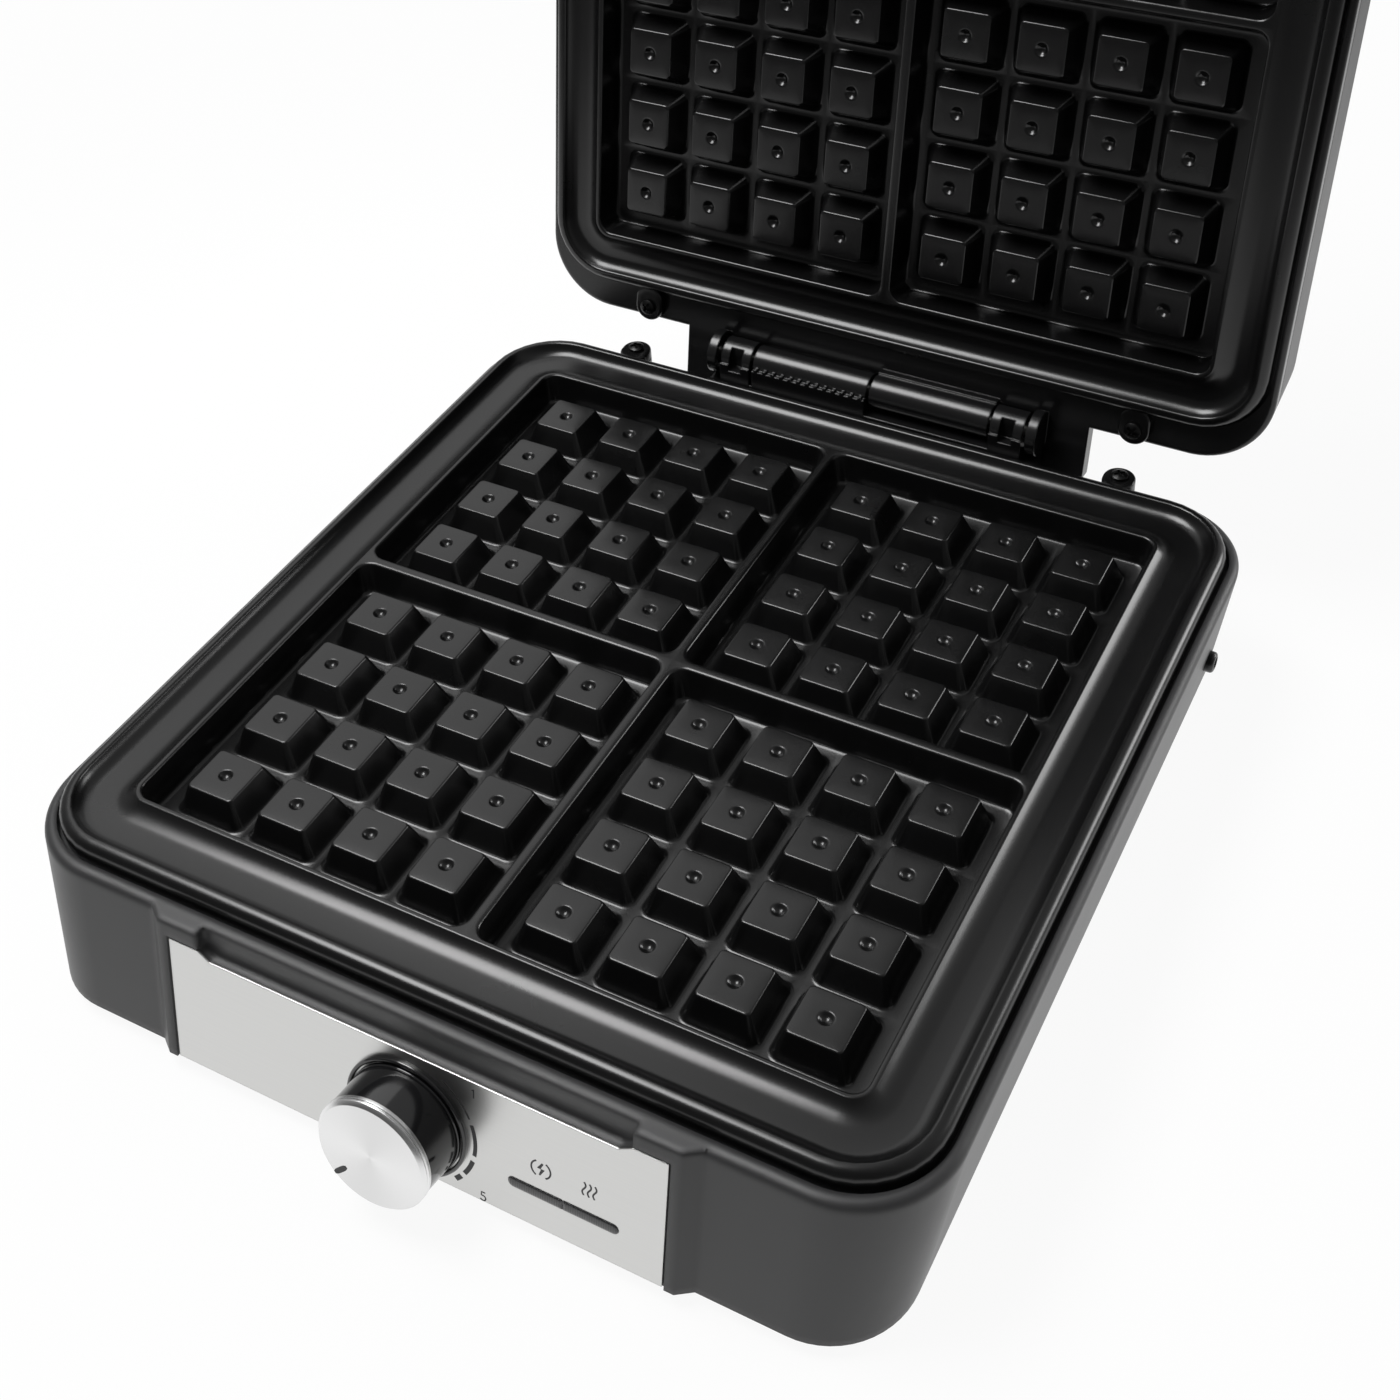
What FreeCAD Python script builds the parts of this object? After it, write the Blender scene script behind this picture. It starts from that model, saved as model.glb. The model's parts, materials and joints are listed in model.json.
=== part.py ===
"""Square waffle maker with an open lid, four waffles to a plate, in millimetres.

The pieces are drawn with the lid closed, x to the right, y to the back and z up from the table, with the
middle of the waffle plates at x = y = 0.  The lid's pieces are then turned open about the hinge, and
everything is moved so that the origin lies on the table, under the middle of the object's box.
"""
import FreeCAD
import Part
import math
import os
from FreeCAD import Placement, Rotation, Vector

# Heights of the base, from the table up
foot_height = 5.0
base_depth = 48.0
lip_above_ledge = 5.0
rim_below_lip = 1.0
blocks_below_rim = 2.0
plate_gap = 2.5

# Waffle plates, from the middle outwards; the lid's plate has the narrower gutter
divider_top = 3.4
divider_base = 7.2
divider_gap = 4.1
blocks_per_waffle = 4
block_pitch = 26.0
block_height = 9.0
block_top = 16.0
block_base = 22.8
block_corner = 1.4
dimple_radius = 2.2
dimple_depth = 0.9
wall_gap = 5.8
cavity_draft = 1.2
cavity_corner = 6.0
rim_width = 2.0
gutter_width = 16.3
lid_gutter_width = 12.7
gutter_below_rim = 3.0
gutter_round = 2.6
lip_width = 4.5
lip_round = 3.3
plate_corner = 25.0
lid_plate_corner = 22.0
seat_below_ledge = 3.0
pan_wall = 3.5
pan_floor = 4.0

# Tabs at the back of each plate, with the screws that hold it
tab_place = 94.0
tab_reach = 4.9
lid_tab_reach = 6.6
tab_radius = 5.5
tab_thickness = 3.5
tab_boss_depth = 20.0
tab_screw_radius = 1.3
tab_screw_length = 14.0
tab_head_radius = 2.9
tab_head_height = 1.8
screw_clearance = 0.05

# Base housing
ledge_gap = 1.2
ledge_width = 3.5
ledge_front_width = 3.7
ledge_round = 2.5
side_taper = 6.0
front_taper = 10.3
bottom_corner = 25.0
housing_wall = 2.6
shelf_thickness = 3.0
shelf_gap = 3.0
cover_thickness = 2.5
cover_clearance = 0.3
post_inset = 6.7
post_spread = 70.0
post_radius = 3.2
post_screw_radius = 1.3
post_screw_length = 12.0
post_head_radius = 2.5
post_head_height = 1.3
foot_radius = 9.0
foot_top_radius = 10.0
foot_side_inset = 25.0
foot_front_inset = 23.5
foot_back_inset = 23.0

# Sloping front with its raised pod, finger recess and steel panel
pod_border = 3.6
pod_flare = 4.5
pod_proud = 3.0
panel_end = 13.1
panel_top = 6.3
panel_thickness = 0.8
panel_sink = 1.0
panel_gap = 0.7
panel_tab = 10.0
notch_slant = 4.0
notch_depth = 2.3
recess_sink = 0.3
recess_round = 2.5

# Control knob and thermostat
knob_x = 1.0
knob_up = 18.5
knob_radius = 17.4
knob_taper = 0.5
knob_rise = 13.4
knob_lift = 0.5
cap_radius = 17.2
cap_thickness = 3.0
cap_chamfer = 0.9
bezel_gap = 0.4
bezel_width = 1.0
bezel_height = 1.7
pointer_length = 5.0
pointer_width = 1.2
pointer_depth = 0.5
pointer_place = 13.6
pointer_angle = 225.0
shaft_radius = 3.0
shaft_clearance = 0.05
shaft_in_knob = 9.0
shaft_in_thermostat = 8.0
shaft_hole_gap = 1.5
thermostat_flange_width = 40.0
thermostat_flange_height = 24.0
thermostat_flange_thickness = 2.0
thermostat_radius = 11.0
thermostat_depth = 13.5

# Signal lights
light_gap = 12.7
light_length = 32.8
light_divider = 0.8
light_up = 12.4
light_height = 3.0
light_sink = 0.2
lens_clearance = 0.15
lens_flange_thickness = 1.5
lamp_radius = 2.2
lamp_length = 7.5
board_margin = 5.0
board_height = 11.0
board_thickness = 1.6
board_post_radius = 1.8
board_post_gap = 1.0

# Heating elements and reflectors
heater_radius = 3.5
heater_half = 74.0
heater_bend = 24.0
heater_opening = 40.0
heater_gap = 0.2
heater_pin_radius = 1.6
heater_pin_length = 9.0
reflector_gap = 1.1
reflector_corner = 14.0
reflector_sheet = 0.8

# Supply inlet, terminal block and the leads inside the base
gland_inset = 35.0
gland_up = 14.4
gland_radius = 3.6
gland_reach = 2.8
gland_round = 1.2
gland_bore = 2.2
gland_bore_depth = 5.0
gland_flange_radius = 6.0
gland_flange_thickness = 2.2
gland_flange_setback = 3.8
gland_clearance = 0.1
terminal_inset = 32.0
terminal_length = 28.0
terminal_width = 18.0
terminal_height = 13.0
lead_radius = 1.3
lead_spacing = 8.0
lead_height = 6.0
lead_turn_x = 44.0
lead_bend = 12.0
lead_gap = 0.3

# Hinge
hinge_behind = 7.5
hinge_above_parting = 0.75
open_angle = 100.6
hinge_clearance = 0.6
pin_radius = 2.5
pin_fit = 0.05
pin_end_gap = 0.3
barrel_gap = 1.2
barrel_length = 44.9
barrel_radius = 6.0
barrel_flange = 4.0
ring_gap = 1.1
ring_length = 11.8
ring_radius = 6.5
ring_window = 5.0
ring_window_floor = 3.4
ear_gap = 1.6
ear_length = 18.2
ear_reach = 18.0
ear_root = 3.0
ear_round = 2.5
lug_radius = 8.0
lug_length = 3.5
lug_cap = 1.0
web_reach = 9.0
arm_past_axis = 1.4
bracket_thickness = 3.0
bracket_height = 26.0
bracket_below_ledge = 0.5
bracket_shelf_reach = 9.0
bracket_shelf_thickness = 6.0
bracket_screw_drop = 15.0
bracket_screw_length = 4.6
rib_count = 13
rib_width = 1.3
rib_height = 1.0
rib_setback = 1.0
rib_depth = 2.4

# Lid
lid_gap = 0.9
lid_ledge_width = 2.4
lid_front_width = 5.4
lid_hinge_gap = 3.5
lid_depth = 36.0
lid_side_taper = 1.5
lid_front_taper = 4.0
lid_back_taper = 3.0
lid_edge_round = 5.0
frame_round = 1.5
frame_height = 6.0
handle_half = 62.0
handle_low = 4.0
handle_height = 15.0
handle_reach = 15.0
handle_round = 4.0
handle_scoop = 5.0
handle_scoop_reach = 9.0
handle_screw_x = 45.0
handle_screw_up = 8.0
handle_screw_radius = 1.5
handle_screw_in = 8.0
handle_head_radius = 3.0
handle_head_height = 2.0
handle_head_gap = 0.5

# How far every cutting shape runs past the faces that it opens
overrun = 4.0
mirrored = (-1.0, 1.0)

# Levels and places that follow from the sizes above
ledge_z = foot_height + base_depth
seat_z = ledge_z - seat_below_ledge
shelf_z = seat_z - shelf_thickness
lip_z = ledge_z + lip_above_ledge
rim_z = lip_z - rim_below_lip
block_z = rim_z - blocks_below_rim
floor_z = block_z - block_height
gutter_z = rim_z - gutter_below_rim
pan_z = floor_z - pan_floor
block_first = divider_base / 2 + divider_gap + block_base / 2
block_last = block_first + (blocks_per_waffle - 1) * block_pitch
cavity_half = block_last + block_base / 2 + wall_gap + cavity_draft
rim_half = cavity_half + rim_width
plate_half = rim_half + gutter_width + lip_width
lid_plate_half = rim_half + lid_gutter_width + lip_width
pan_half = cavity_half + pan_wall
pan_corner = cavity_corner + pan_wall
shelf_half = pan_half + shelf_gap
shelf_corner = pan_corner + shelf_gap
opening_half = plate_half + ledge_gap
opening_corner = plate_corner + ledge_gap
ledge_half = opening_half + ledge_width
ledge_corner = opening_corner + ledge_width
ledge_front = -opening_half - ledge_front_width
ledge_back = opening_half + ledge_width
bottom_half = ledge_half - side_taper
bottom_front = ledge_front - front_taper
cover_z = foot_height + cover_thickness
post_place = bottom_half - post_inset
reflector_half = post_place - post_radius - reflector_gap
parting_z = lip_z + plate_gap / 2
hinge_y = ledge_back + hinge_behind
hinge_z = parting_z + hinge_above_parting
barrel_start = barrel_gap / 2
barrel_end = barrel_start + barrel_length
ring_start = barrel_end + ring_gap
ring_end = ring_start + ring_length
ring_middle = (ring_start + ring_end) / 2
ear_start = ring_end + ear_gap
ear_end = ear_start + ear_length
lug_end = ear_start + lug_length
lid_ledge_z = 2 * parting_z - ledge_z
lid_seat_z = 2 * parting_z - seat_z
frame_z = lid_ledge_z + frame_height
lid_top_z = lid_ledge_z + lid_depth
lid_opening_half = lid_plate_half + lid_gap
lid_opening_corner = lid_plate_corner + lid_gap
lid_half = lid_opening_half + lid_ledge_width
lid_corner = lid_opening_corner + lid_ledge_width
lid_front = -lid_opening_half - lid_front_width
lid_back = hinge_y - lid_hinge_gap
tab_y = plate_half + tab_reach
lid_tab_y = lid_plate_half + lid_tab_reach
gland_y = ledge_back - gland_inset
gland_z = foot_height + gland_up
terminal_x = bottom_half - terminal_inset
slope = math.atan2(front_taper, base_depth)
front_length = base_depth / math.cos(slope)
knob_below = front_length - knob_up
light_below = front_length - light_up
light_left = knob_x + knob_radius + bezel_gap + bezel_width + light_gap
light_right = light_left + light_length
panel_half = light_right + panel_end
pod_half = panel_half + pod_border
wall_inside = -housing_wall * math.cos(slope)
panel_face = pod_proud - panel_sink + panel_thickness
tab_hole = tab_screw_radius + screw_clearance
post_hole = post_screw_radius + screw_clearance
pin_hole = pin_radius + pin_fit
hinge_axis = Vector(0, hinge_y, hinge_z)
along_x = Vector(1, 0, 0)
along_y = Vector(0, 1, 0)
along_z = Vector(0, 0, 1)

# On the sloping front, x stays, the second axis runs up the slope from the ledge, the third points outwards
front_frame = Placement(Vector(0, ledge_front, ledge_z), Rotation(along_x, 90 - math.degrees(slope)))

base_nodes = {}
lid_nodes = {}


def outline(left, right, front, back, corner, level):
    """A rectangle with round corners in a level plane."""
    share = 1 - math.sqrt(0.5)
    inner = corner * share
    low_x = left + corner
    high_x = right - corner
    low_y = front + corner
    high_y = back - corner
    edges = [
        Part.makeLine(Vector(low_x, front, level), Vector(high_x, front, level)),
        Part.Arc(Vector(high_x, front, level), Vector(right - inner, front + inner, level),
                 Vector(right, low_y, level)).toShape(),
        Part.makeLine(Vector(right, low_y, level), Vector(right, high_y, level)),
        Part.Arc(Vector(right, high_y, level), Vector(right - inner, back - inner, level),
                 Vector(high_x, back, level)).toShape(),
        Part.makeLine(Vector(high_x, back, level), Vector(low_x, back, level)),
        Part.Arc(Vector(low_x, back, level), Vector(left + inner, back - inner, level),
                 Vector(left, high_y, level)).toShape(),
        Part.makeLine(Vector(left, high_y, level), Vector(left, low_y, level)),
        Part.Arc(Vector(left, low_y, level), Vector(left + inner, front + inner, level),
                 Vector(low_x, front, level)).toShape(),
    ]
    return Part.Wire(edges)


def square_slab(half, corner, low, high):
    """A flat square slab with round corners."""
    face = Part.Face(outline(-half, half, -half, half, corner, low))
    return face.extrude(Vector(0, 0, high - low))


def block_between(low, high):
    """A plain box from its lowest to its highest corner."""
    size = high - low
    return Part.makeBox(size.x, size.y, size.z, low)


def rod(radius, start, end):
    """A round bar from one point to another."""
    return Part.makeCylinder(radius, (end - start).Length, start, end - start)


def prism(points, direction):
    """A straight prism on a flat polygon."""
    return Part.Face(Part.makePolygon(points + points[:1])).extrude(direction)


def level_edges(shape, level):
    """The edges of a shape that lie in one level plane."""
    slack = overrun / 1e4
    return [edge for edge in shape.Edges
            if all(abs(vertex.Z - level) < slack for vertex in edge.Vertexes)]


def on_front(shape):
    """Moves a shape that was drawn on the sloping front to its place."""
    placed = shape.copy()
    placed.Placement = front_frame.multiply(shape.Placement)
    return placed


def blend(low, high, share):
    """A value between two others."""
    return low + (high - low) * share


def base_section(level, inset):
    """The base housing's outline at a level, drawn in by an inset."""
    share = (level - foot_height) / base_depth
    half = blend(bottom_half, ledge_half, share) - inset
    front = blend(bottom_front, ledge_front, share) + inset
    corner = blend(bottom_corner, ledge_corner, share) - inset
    return outline(-half, half, front, ledge_back - inset, corner, level)


def lid_section(level, inset):
    """The lid's outline at a level, drawn in by an inset."""
    share = (level - lid_ledge_z) / lid_depth
    half = lid_half - lid_side_taper * share - inset
    front = lid_front + lid_front_taper * share + inset
    back = lid_back - lid_back_taper * share - inset
    return outline(-half, half, front, back, lid_corner - inset, level)


def between(section, low, high, inset):
    """The solid between two levels of a housing."""
    return Part.makeLoft([section(low, inset), section(high, inset)], True, True)


def mirror_up(shape):
    """A piece of the base's heating side, turned over into the lid."""
    return shape.mirror(Vector(0, 0, parting_z), along_z)


def heating_block():
    """One raised block of a waffle plate, its base in the origin, with the dimple in its top."""
    lower = outline(-block_base / 2, block_base / 2, -block_base / 2, block_base / 2, block_corner, 0)
    upper = outline(-block_top / 2, block_top / 2, -block_top / 2, block_top / 2, block_corner, block_height)
    body = Part.makeLoft([lower, upper], True, True)
    ball_radius = (dimple_radius ** 2 + dimple_depth ** 2) / (2 * dimple_depth)
    return body.cut(Part.makeSphere(ball_radius, Vector(0, 0, block_height + ball_radius - dimple_depth)))


def waffle_pocket(side_x, side_y):
    """The space for one waffle, from the plate's floor to its rim, with slanting walls."""
    wires = []
    for level, wall, ridge in ((floor_z, cavity_half - cavity_draft, divider_base / 2),
                               (rim_z, cavity_half, divider_top / 2)):
        x_ends = sorted((side_x * wall, side_x * ridge))
        y_ends = sorted((side_y * wall, side_y * ridge))
        wires.append(outline(x_ends[0], x_ends[1], y_ends[0], y_ends[1], cavity_corner, level))
    return Part.makeLoft(wires, True, True)


def waffle_plate(half, corner, screw_y):
    """A cast plate without its blocks: lip, gutter, rim, four pockets, and the tabs at the back."""
    body = square_slab(half, corner, seat_z, lip_z)
    body = body.makeFillet(lip_round, level_edges(body, lip_z))
    body = body.fuse(square_slab(pan_half, pan_corner, pan_z, seat_z))
    inside_lip = half - lip_width
    inside_corner = corner - lip_width
    body = body.cut(square_slab(inside_lip, inside_corner, rim_z, lip_z + overrun))
    gutter = square_slab(inside_lip, inside_corner, gutter_z, rim_z + overrun)
    rim_outside = square_slab(rim_half, cavity_corner + rim_width, gutter_z, rim_z + overrun)
    gutter = gutter.cut(rim_outside)
    gutter = gutter.makeFillet(gutter_round, level_edges(gutter, gutter_z))
    pockets = [waffle_pocket(side_x, side_y) for side_x in mirrored for side_y in mirrored]
    body = body.cut(Part.makeCompound([gutter] + pockets))
    for side in mirrored:
        tab_top = ledge_z + tab_thickness
        foot = Vector(side * tab_place, screw_y, ledge_z)
        tab = Part.makeCylinder(tab_radius, tab_thickness, foot)
        root = Vector(side * tab_place - tab_radius, half - lip_width / 2, ledge_z)
        tab = tab.fuse(block_between(root, Vector(side * tab_place + tab_radius, screw_y, tab_top)))
        hole = rod(tab_hole, foot - along_z * overrun, foot + along_z * 2 * overrun)
        body = body.fuse(tab.cut(hole))
    return body.removeSplitter()


def waffle_blocks():
    """The blocks of a plate, in rows on the floors of its four pockets."""
    rows = [block_first + step * block_pitch for step in range(blocks_per_waffle)]
    places = [side * row for side in mirrored for row in rows]
    model = heating_block()
    blocks = []
    for x in places:
        for y in places:
            copy = model.copy()
            copy.translate(Vector(x, y, floor_z))
            blocks.append(copy)
    return Part.makeCompound(blocks)


def tab_screws(screw_y):
    """The two screws that hold a plate at its tabs."""
    screws = []
    for side in mirrored:
        seat = Vector(side * tab_place, screw_y, ledge_z + tab_thickness)
        head = Part.makeCylinder(tab_head_radius, tab_head_height, seat)
        screws.append(head.fuse(rod(tab_screw_radius, seat - along_z * tab_screw_length, seat)))
    return Part.makeCompound(screws)


def heater():
    """The lower heating element: a square loop of round tube, open at the front, with two terminal pins."""
    level = pan_z - heater_gap - heater_radius
    start = heater_opening / 2
    inner = heater_bend * (1 - math.sqrt(0.5))
    near = heater_half - heater_bend
    edges = [Part.makeLine(Vector(-start, -heater_half, level), Vector(-near, -heater_half, level))]
    corner_signs = ((-1, -1), (-1, 1), (1, 1), (1, -1))
    for index, (side_x, side_y) in enumerate(corner_signs):
        on_y_side = Vector(side_x * near, side_y * heater_half, level)
        on_x_side = Vector(side_x * heater_half, side_y * near, level)
        middle = Vector(side_x * (heater_half - inner), side_y * (heater_half - inner), level)
        first, last = (on_y_side, on_x_side) if index % 2 == 0 else (on_x_side, on_y_side)
        edges.append(Part.Arc(first, middle, last).toShape())
        if index < len(corner_signs) - 1:
            next_x, next_y = corner_signs[index + 1]
            if index % 2 == 0:
                end = Vector(next_x * heater_half, next_y * near, level)
            else:
                end = Vector(next_x * near, next_y * heater_half, level)
            edges.append(Part.makeLine(last, end))
    edges.append(Part.makeLine(Vector(near, -heater_half, level), Vector(start, -heater_half, level)))
    path = Part.Wire(edges)
    section = Part.Wire(Part.makeCircle(heater_radius, Vector(-start, -heater_half, level), along_x))
    tube = path.makePipeShell([section], True, False)
    for side in mirrored:
        end = Vector(side * start, -heater_half, level)
        tube = tube.fuse(rod(heater_pin_radius, end, end - along_x * (side * heater_pin_length)))
    return tube


def reflector():
    """The sheet-metal tray under the lower heating element, its edge against the housing's shelf."""
    top = pan_z - 2 * heater_gap - 2 * heater_radius
    outer = square_slab(reflector_half, reflector_corner, top - reflector_sheet, shelf_z)
    inner_half = reflector_half - reflector_sheet
    return outer.cut(square_slab(inner_half, reflector_corner - reflector_sheet, top, shelf_z + overrun))


def panel_outline(gap, height):
    """The steel panel's shape on the sloping front, grown by a gap, as points at a height off the wall."""
    half = panel_half + gap
    top = -panel_top + gap
    tab_edge = panel_half - panel_tab - gap
    notch = -panel_top - notch_depth + gap
    slant = tab_edge - notch_slant
    points = [(-half, -front_length - gap), (half, -front_length - gap), (half, top), (tab_edge, top),
              (slant, notch), (-slant, notch), (-tab_edge, top), (-half, top)]
    return [Vector(x, up, height) for x, up in points]


def front_hole(radius, low, high):
    """A round bar on the knob's axis, drawn on the sloping front between two heights."""
    centre = Vector(knob_x, -knob_below, 0)
    return rod(radius, centre + along_z * low, centre + along_z * high)


def light_slots(gap, low, high):
    """The two slots of the signal lights on the sloping front, grown by a gap, with round outer ends."""
    middle = (light_left + light_right) / 2
    radius = light_height / 2 + gap
    slots = []
    for side in mirrored:
        outer = light_left if side < 0 else light_right
        inner = middle + side * (light_divider / 2 - gap)
        centre = outer - side * light_height / 2
        x_ends = sorted((centre, inner))
        bar = block_between(Vector(x_ends[0], -light_below - radius, low),
                            Vector(x_ends[1], -light_below + radius, high))
        end = rod(radius, Vector(centre, -light_below, low), Vector(centre, -light_below, high))
        slots.append(bar.fuse(end).removeSplitter())
    return slots


def finger_recess():
    """The shallow dish over the panel's notch, open to the top and the front, with round lower corners."""
    tab_edge = panel_half - panel_tab
    notch = -panel_top - notch_depth
    slant = tab_edge - notch_slant
    points = [Vector(-slant, notch, -recess_sink), Vector(slant, notch, -recess_sink),
              Vector(tab_edge, -panel_top, -recess_sink), Vector(tab_edge, overrun, -recess_sink),
              Vector(-tab_edge, overrun, -recess_sink), Vector(-tab_edge, -panel_top, -recess_sink)]
    dish = prism(points, along_z * (recess_sink + pod_proud + overrun))
    corners = [edge for edge in dish.Edges
               if abs(edge.tangentAt(edge.FirstParameter).z) > 0.5 and edge.CenterOfMass.y < 0]
    return dish.makeFillet(recess_round, corners)


def base_posts():
    """The places of the four posts inside the base."""
    return [Vector(side_x * post_place, side_y * post_spread, 0)
            for side_x in mirrored for side_y in mirrored]


def base_housing():
    """The base's shell with its sloping front, raised pod, finger recess, plate shelf, posts and bosses."""
    outer = between(base_section, foot_height, ledge_z, 0)
    outer = outer.makeFillet(ledge_round, level_edges(outer, ledge_z))
    root = housing_wall / 2
    low = -2 * base_depth
    side = pod_half + pod_flare
    section = [Vector(-side, low, -root), Vector(side, low, -root), Vector(side, low, 0),
               Vector(pod_half, low, pod_proud), Vector(-pod_half, low, pod_proud), Vector(-side, low, 0)]
    pod = on_front(prism(section, -along_y * 2 * low))
    reach = 2 * ledge_half
    kept = block_between(Vector(-reach, -reach, foot_height), Vector(reach, reach, ledge_z))
    body = outer.fuse(pod.common(kept))
    body = body.cut(between(base_section, foot_height - overrun, shelf_z, housing_wall))
    body = body.cut(square_slab(shelf_half, shelf_corner, shelf_z - overrun, ledge_z + overrun))
    body = body.cut(square_slab(opening_half, opening_corner, seat_z, ledge_z + overrun))
    recess = finger_recess()
    sunk = prism(panel_outline(panel_gap, pod_proud - panel_sink), along_z * overrun)
    shaft_hole = front_hole(shaft_radius + shaft_hole_gap, -overrun - housing_wall, pod_proud + overrun)
    slots = light_slots(lens_clearance, -overrun - housing_wall, pod_proud + overrun)
    front_cuts = [on_front(tool) for tool in [recess, sunk, shaft_hole] + slots]
    body = body.cut(Part.makeCompound(front_cuts))
    board_back = wall_inside - lens_flange_thickness - lamp_length
    post_gap = board_post_gap + board_post_radius
    for x in (light_left - post_gap, light_right + post_gap):
        foot = Vector(x, -light_below, wall_inside)
        post = rod(board_post_radius, foot, Vector(x, -light_below, board_back))
        body = body.fuse(on_front(post))
    for place in base_posts():
        post = rod(post_radius, place + along_z * cover_z, place + along_z * (shelf_z + shelf_thickness / 2))
        bore_top = cover_z + post_screw_length
        post = post.cut(rod(post_hole, place, place + along_z * bore_top))
        body = body.fuse(post)
    for side_x in mirrored:
        top = Vector(side_x * tab_place, tab_y, ledge_z)
        boss = rod(tab_radius, top - along_z * tab_boss_depth, top)
        behind = Vector(top.x - tab_radius, ledge_back - housing_wall, top.z - tab_boss_depth)
        boss = boss.fuse(block_between(behind, Vector(top.x + tab_radius, tab_y, ledge_z)))
        keep = square_slab(opening_half, opening_corner, seat_z, ledge_z + overrun)
        body = body.fuse(boss.cut(keep))
        depth = tab_screw_length - tab_thickness + tab_thickness / 2
        body = body.cut(rod(tab_hole, top - along_z * depth, top + along_z * overrun))
    inlet = Vector(bottom_half - 2 * gland_flange_setback, gland_y, gland_z)
    outside = Vector(ledge_half + overrun, gland_y, gland_z)
    body = body.cut(rod(gland_radius + gland_clearance, inlet, outside))
    screw_z = ledge_z - bracket_screw_drop
    for side_x in mirrored:
        seat = Vector(side_x * ring_middle, ledge_back + bracket_thickness, screw_z)
        body = body.cut(rod(tab_hole, seat - along_y * (bracket_screw_length + root), seat))
    return body.removeSplitter()


def bottom_cover():
    """The flat cover that closes the base from below, with sunk holes for its screws."""
    cover = between(base_section, foot_height, cover_z, housing_wall + cover_clearance)
    for place in base_posts():
        floor = place + along_z * foot_height
        cover = cover.cut(rod(post_head_radius + cover_clearance, floor - along_z * overrun,
                              floor + along_z * post_head_height))
        cover = cover.cut(rod(post_hole, floor, floor + along_z * 2 * cover_thickness))
    return cover


def cover_screws():
    """The four screws under the base, heads sunk into the cover."""
    screws = []
    for place in base_posts():
        seat = place + along_z * (foot_height + post_head_height)
        tip = place + along_z * (cover_z + post_screw_length - post_head_height)
        head = rod(post_head_radius, place + along_z * foot_height, seat)
        screws.append(head.fuse(rod(post_screw_radius, seat, tip)))
    return Part.makeCompound(screws)


def feet():
    """Four round rubber feet under the cover."""
    rows = (bottom_front + foot_front_inset, ledge_back - foot_back_inset)
    places = [Vector(side * (bottom_half - foot_side_inset), y, 0) for side in mirrored for y in rows]
    return Part.makeCompound([Part.makeCone(foot_radius, foot_top_radius, foot_height, place)
                              for place in places])


def control_panel():
    """The steel sheet on the pod, with holes for the knob's shaft and the lights."""
    sheet = prism(panel_outline(0, panel_face - panel_thickness), along_z * panel_thickness)
    tools = [front_hole(shaft_radius + shaft_hole_gap, 0, pod_proud + overrun)]
    tools += light_slots(lens_clearance, 0, pod_proud + overrun)
    return on_front(sheet.cut(Part.makeCompound(tools)))


def light_lenses():
    """The two lenses: each fills its slot and has a flange against the inside of the front wall."""
    bodies = light_slots(0, wall_inside, panel_face - light_sink)
    flange_gap = light_divider / 2 - lens_clearance
    flanges = light_slots(flange_gap, wall_inside - lens_flange_thickness, wall_inside)
    return [on_front(body.fuse(flange).removeSplitter()) for body, flange in zip(bodies, flanges)]


def indicator_board():
    """The board that carries one lamp behind each lens, standing on two posts of the housing."""
    front = wall_inside - lens_flange_thickness - lamp_length
    low = Vector(light_left - board_margin, -light_below - board_height / 2, front - board_thickness)
    high = Vector(light_right + board_margin, -light_below + board_height / 2, front)
    return on_front(block_between(low, high))


def indicator_lamps():
    """Two small lamps between the board and the lenses."""
    middle = (light_left + light_right) / 2
    front = wall_inside - lens_flange_thickness
    lamps = []
    for end in (light_left, light_right):
        centre = Vector((end + middle) / 2, -light_below, front)
        lamps.append(on_front(rod(lamp_radius, centre - along_z * lamp_length, centre)))
    return Part.makeCompound(lamps)


def knob_base():
    """The height of the knob's lower edge over the front wall."""
    return panel_face + knob_lift


def knob_body():
    """The slightly tapered knob, bored for its shaft."""
    centre = Vector(knob_x, -knob_below, knob_base())
    body = Part.makeCone(knob_radius, knob_radius - knob_taper, knob_rise, centre)
    return on_front(body.cut(front_hole(shaft_radius + shaft_clearance, 0, knob_base() + shaft_in_knob)))


def pointer_shape():
    """The short bar that shows the setting, near the edge of the knob's cap."""
    top = knob_base() + knob_rise + cap_thickness
    bar = block_between(Vector(pointer_place - pointer_length / 2, -pointer_width / 2, top - pointer_depth),
                        Vector(pointer_place + pointer_length / 2, pointer_width / 2, top))
    bar.rotate(Vector(0, 0, 0), along_z, pointer_angle)
    bar.translate(Vector(knob_x, -knob_below, 0))
    return bar


def knob_cap():
    """The metal cap on the knob, with a bright chamfer and a groove for the pointer."""
    low = knob_base() + knob_rise
    straight = front_hole(cap_radius, low, low + cap_thickness - cap_chamfer)
    rim = Vector(knob_x, -knob_below, low + cap_thickness - cap_chamfer)
    cap = straight.fuse(Part.makeCone(cap_radius, cap_radius - cap_chamfer, cap_chamfer, rim))
    return on_front(cap.removeSplitter().cut(pointer_shape()))


def knob_bezel():
    """The ring on the panel round the foot of the knob."""
    inner = knob_radius + bezel_gap
    high = panel_face + bezel_height
    ring = front_hole(inner + bezel_width, panel_face, high)
    return on_front(ring.cut(front_hole(inner, 0, high + overrun)))


def thermostat_shaft():
    """The shaft from the thermostat through the panel into the knob."""
    return on_front(front_hole(shaft_radius, wall_inside - shaft_in_thermostat, knob_base() + shaft_in_knob))


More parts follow.
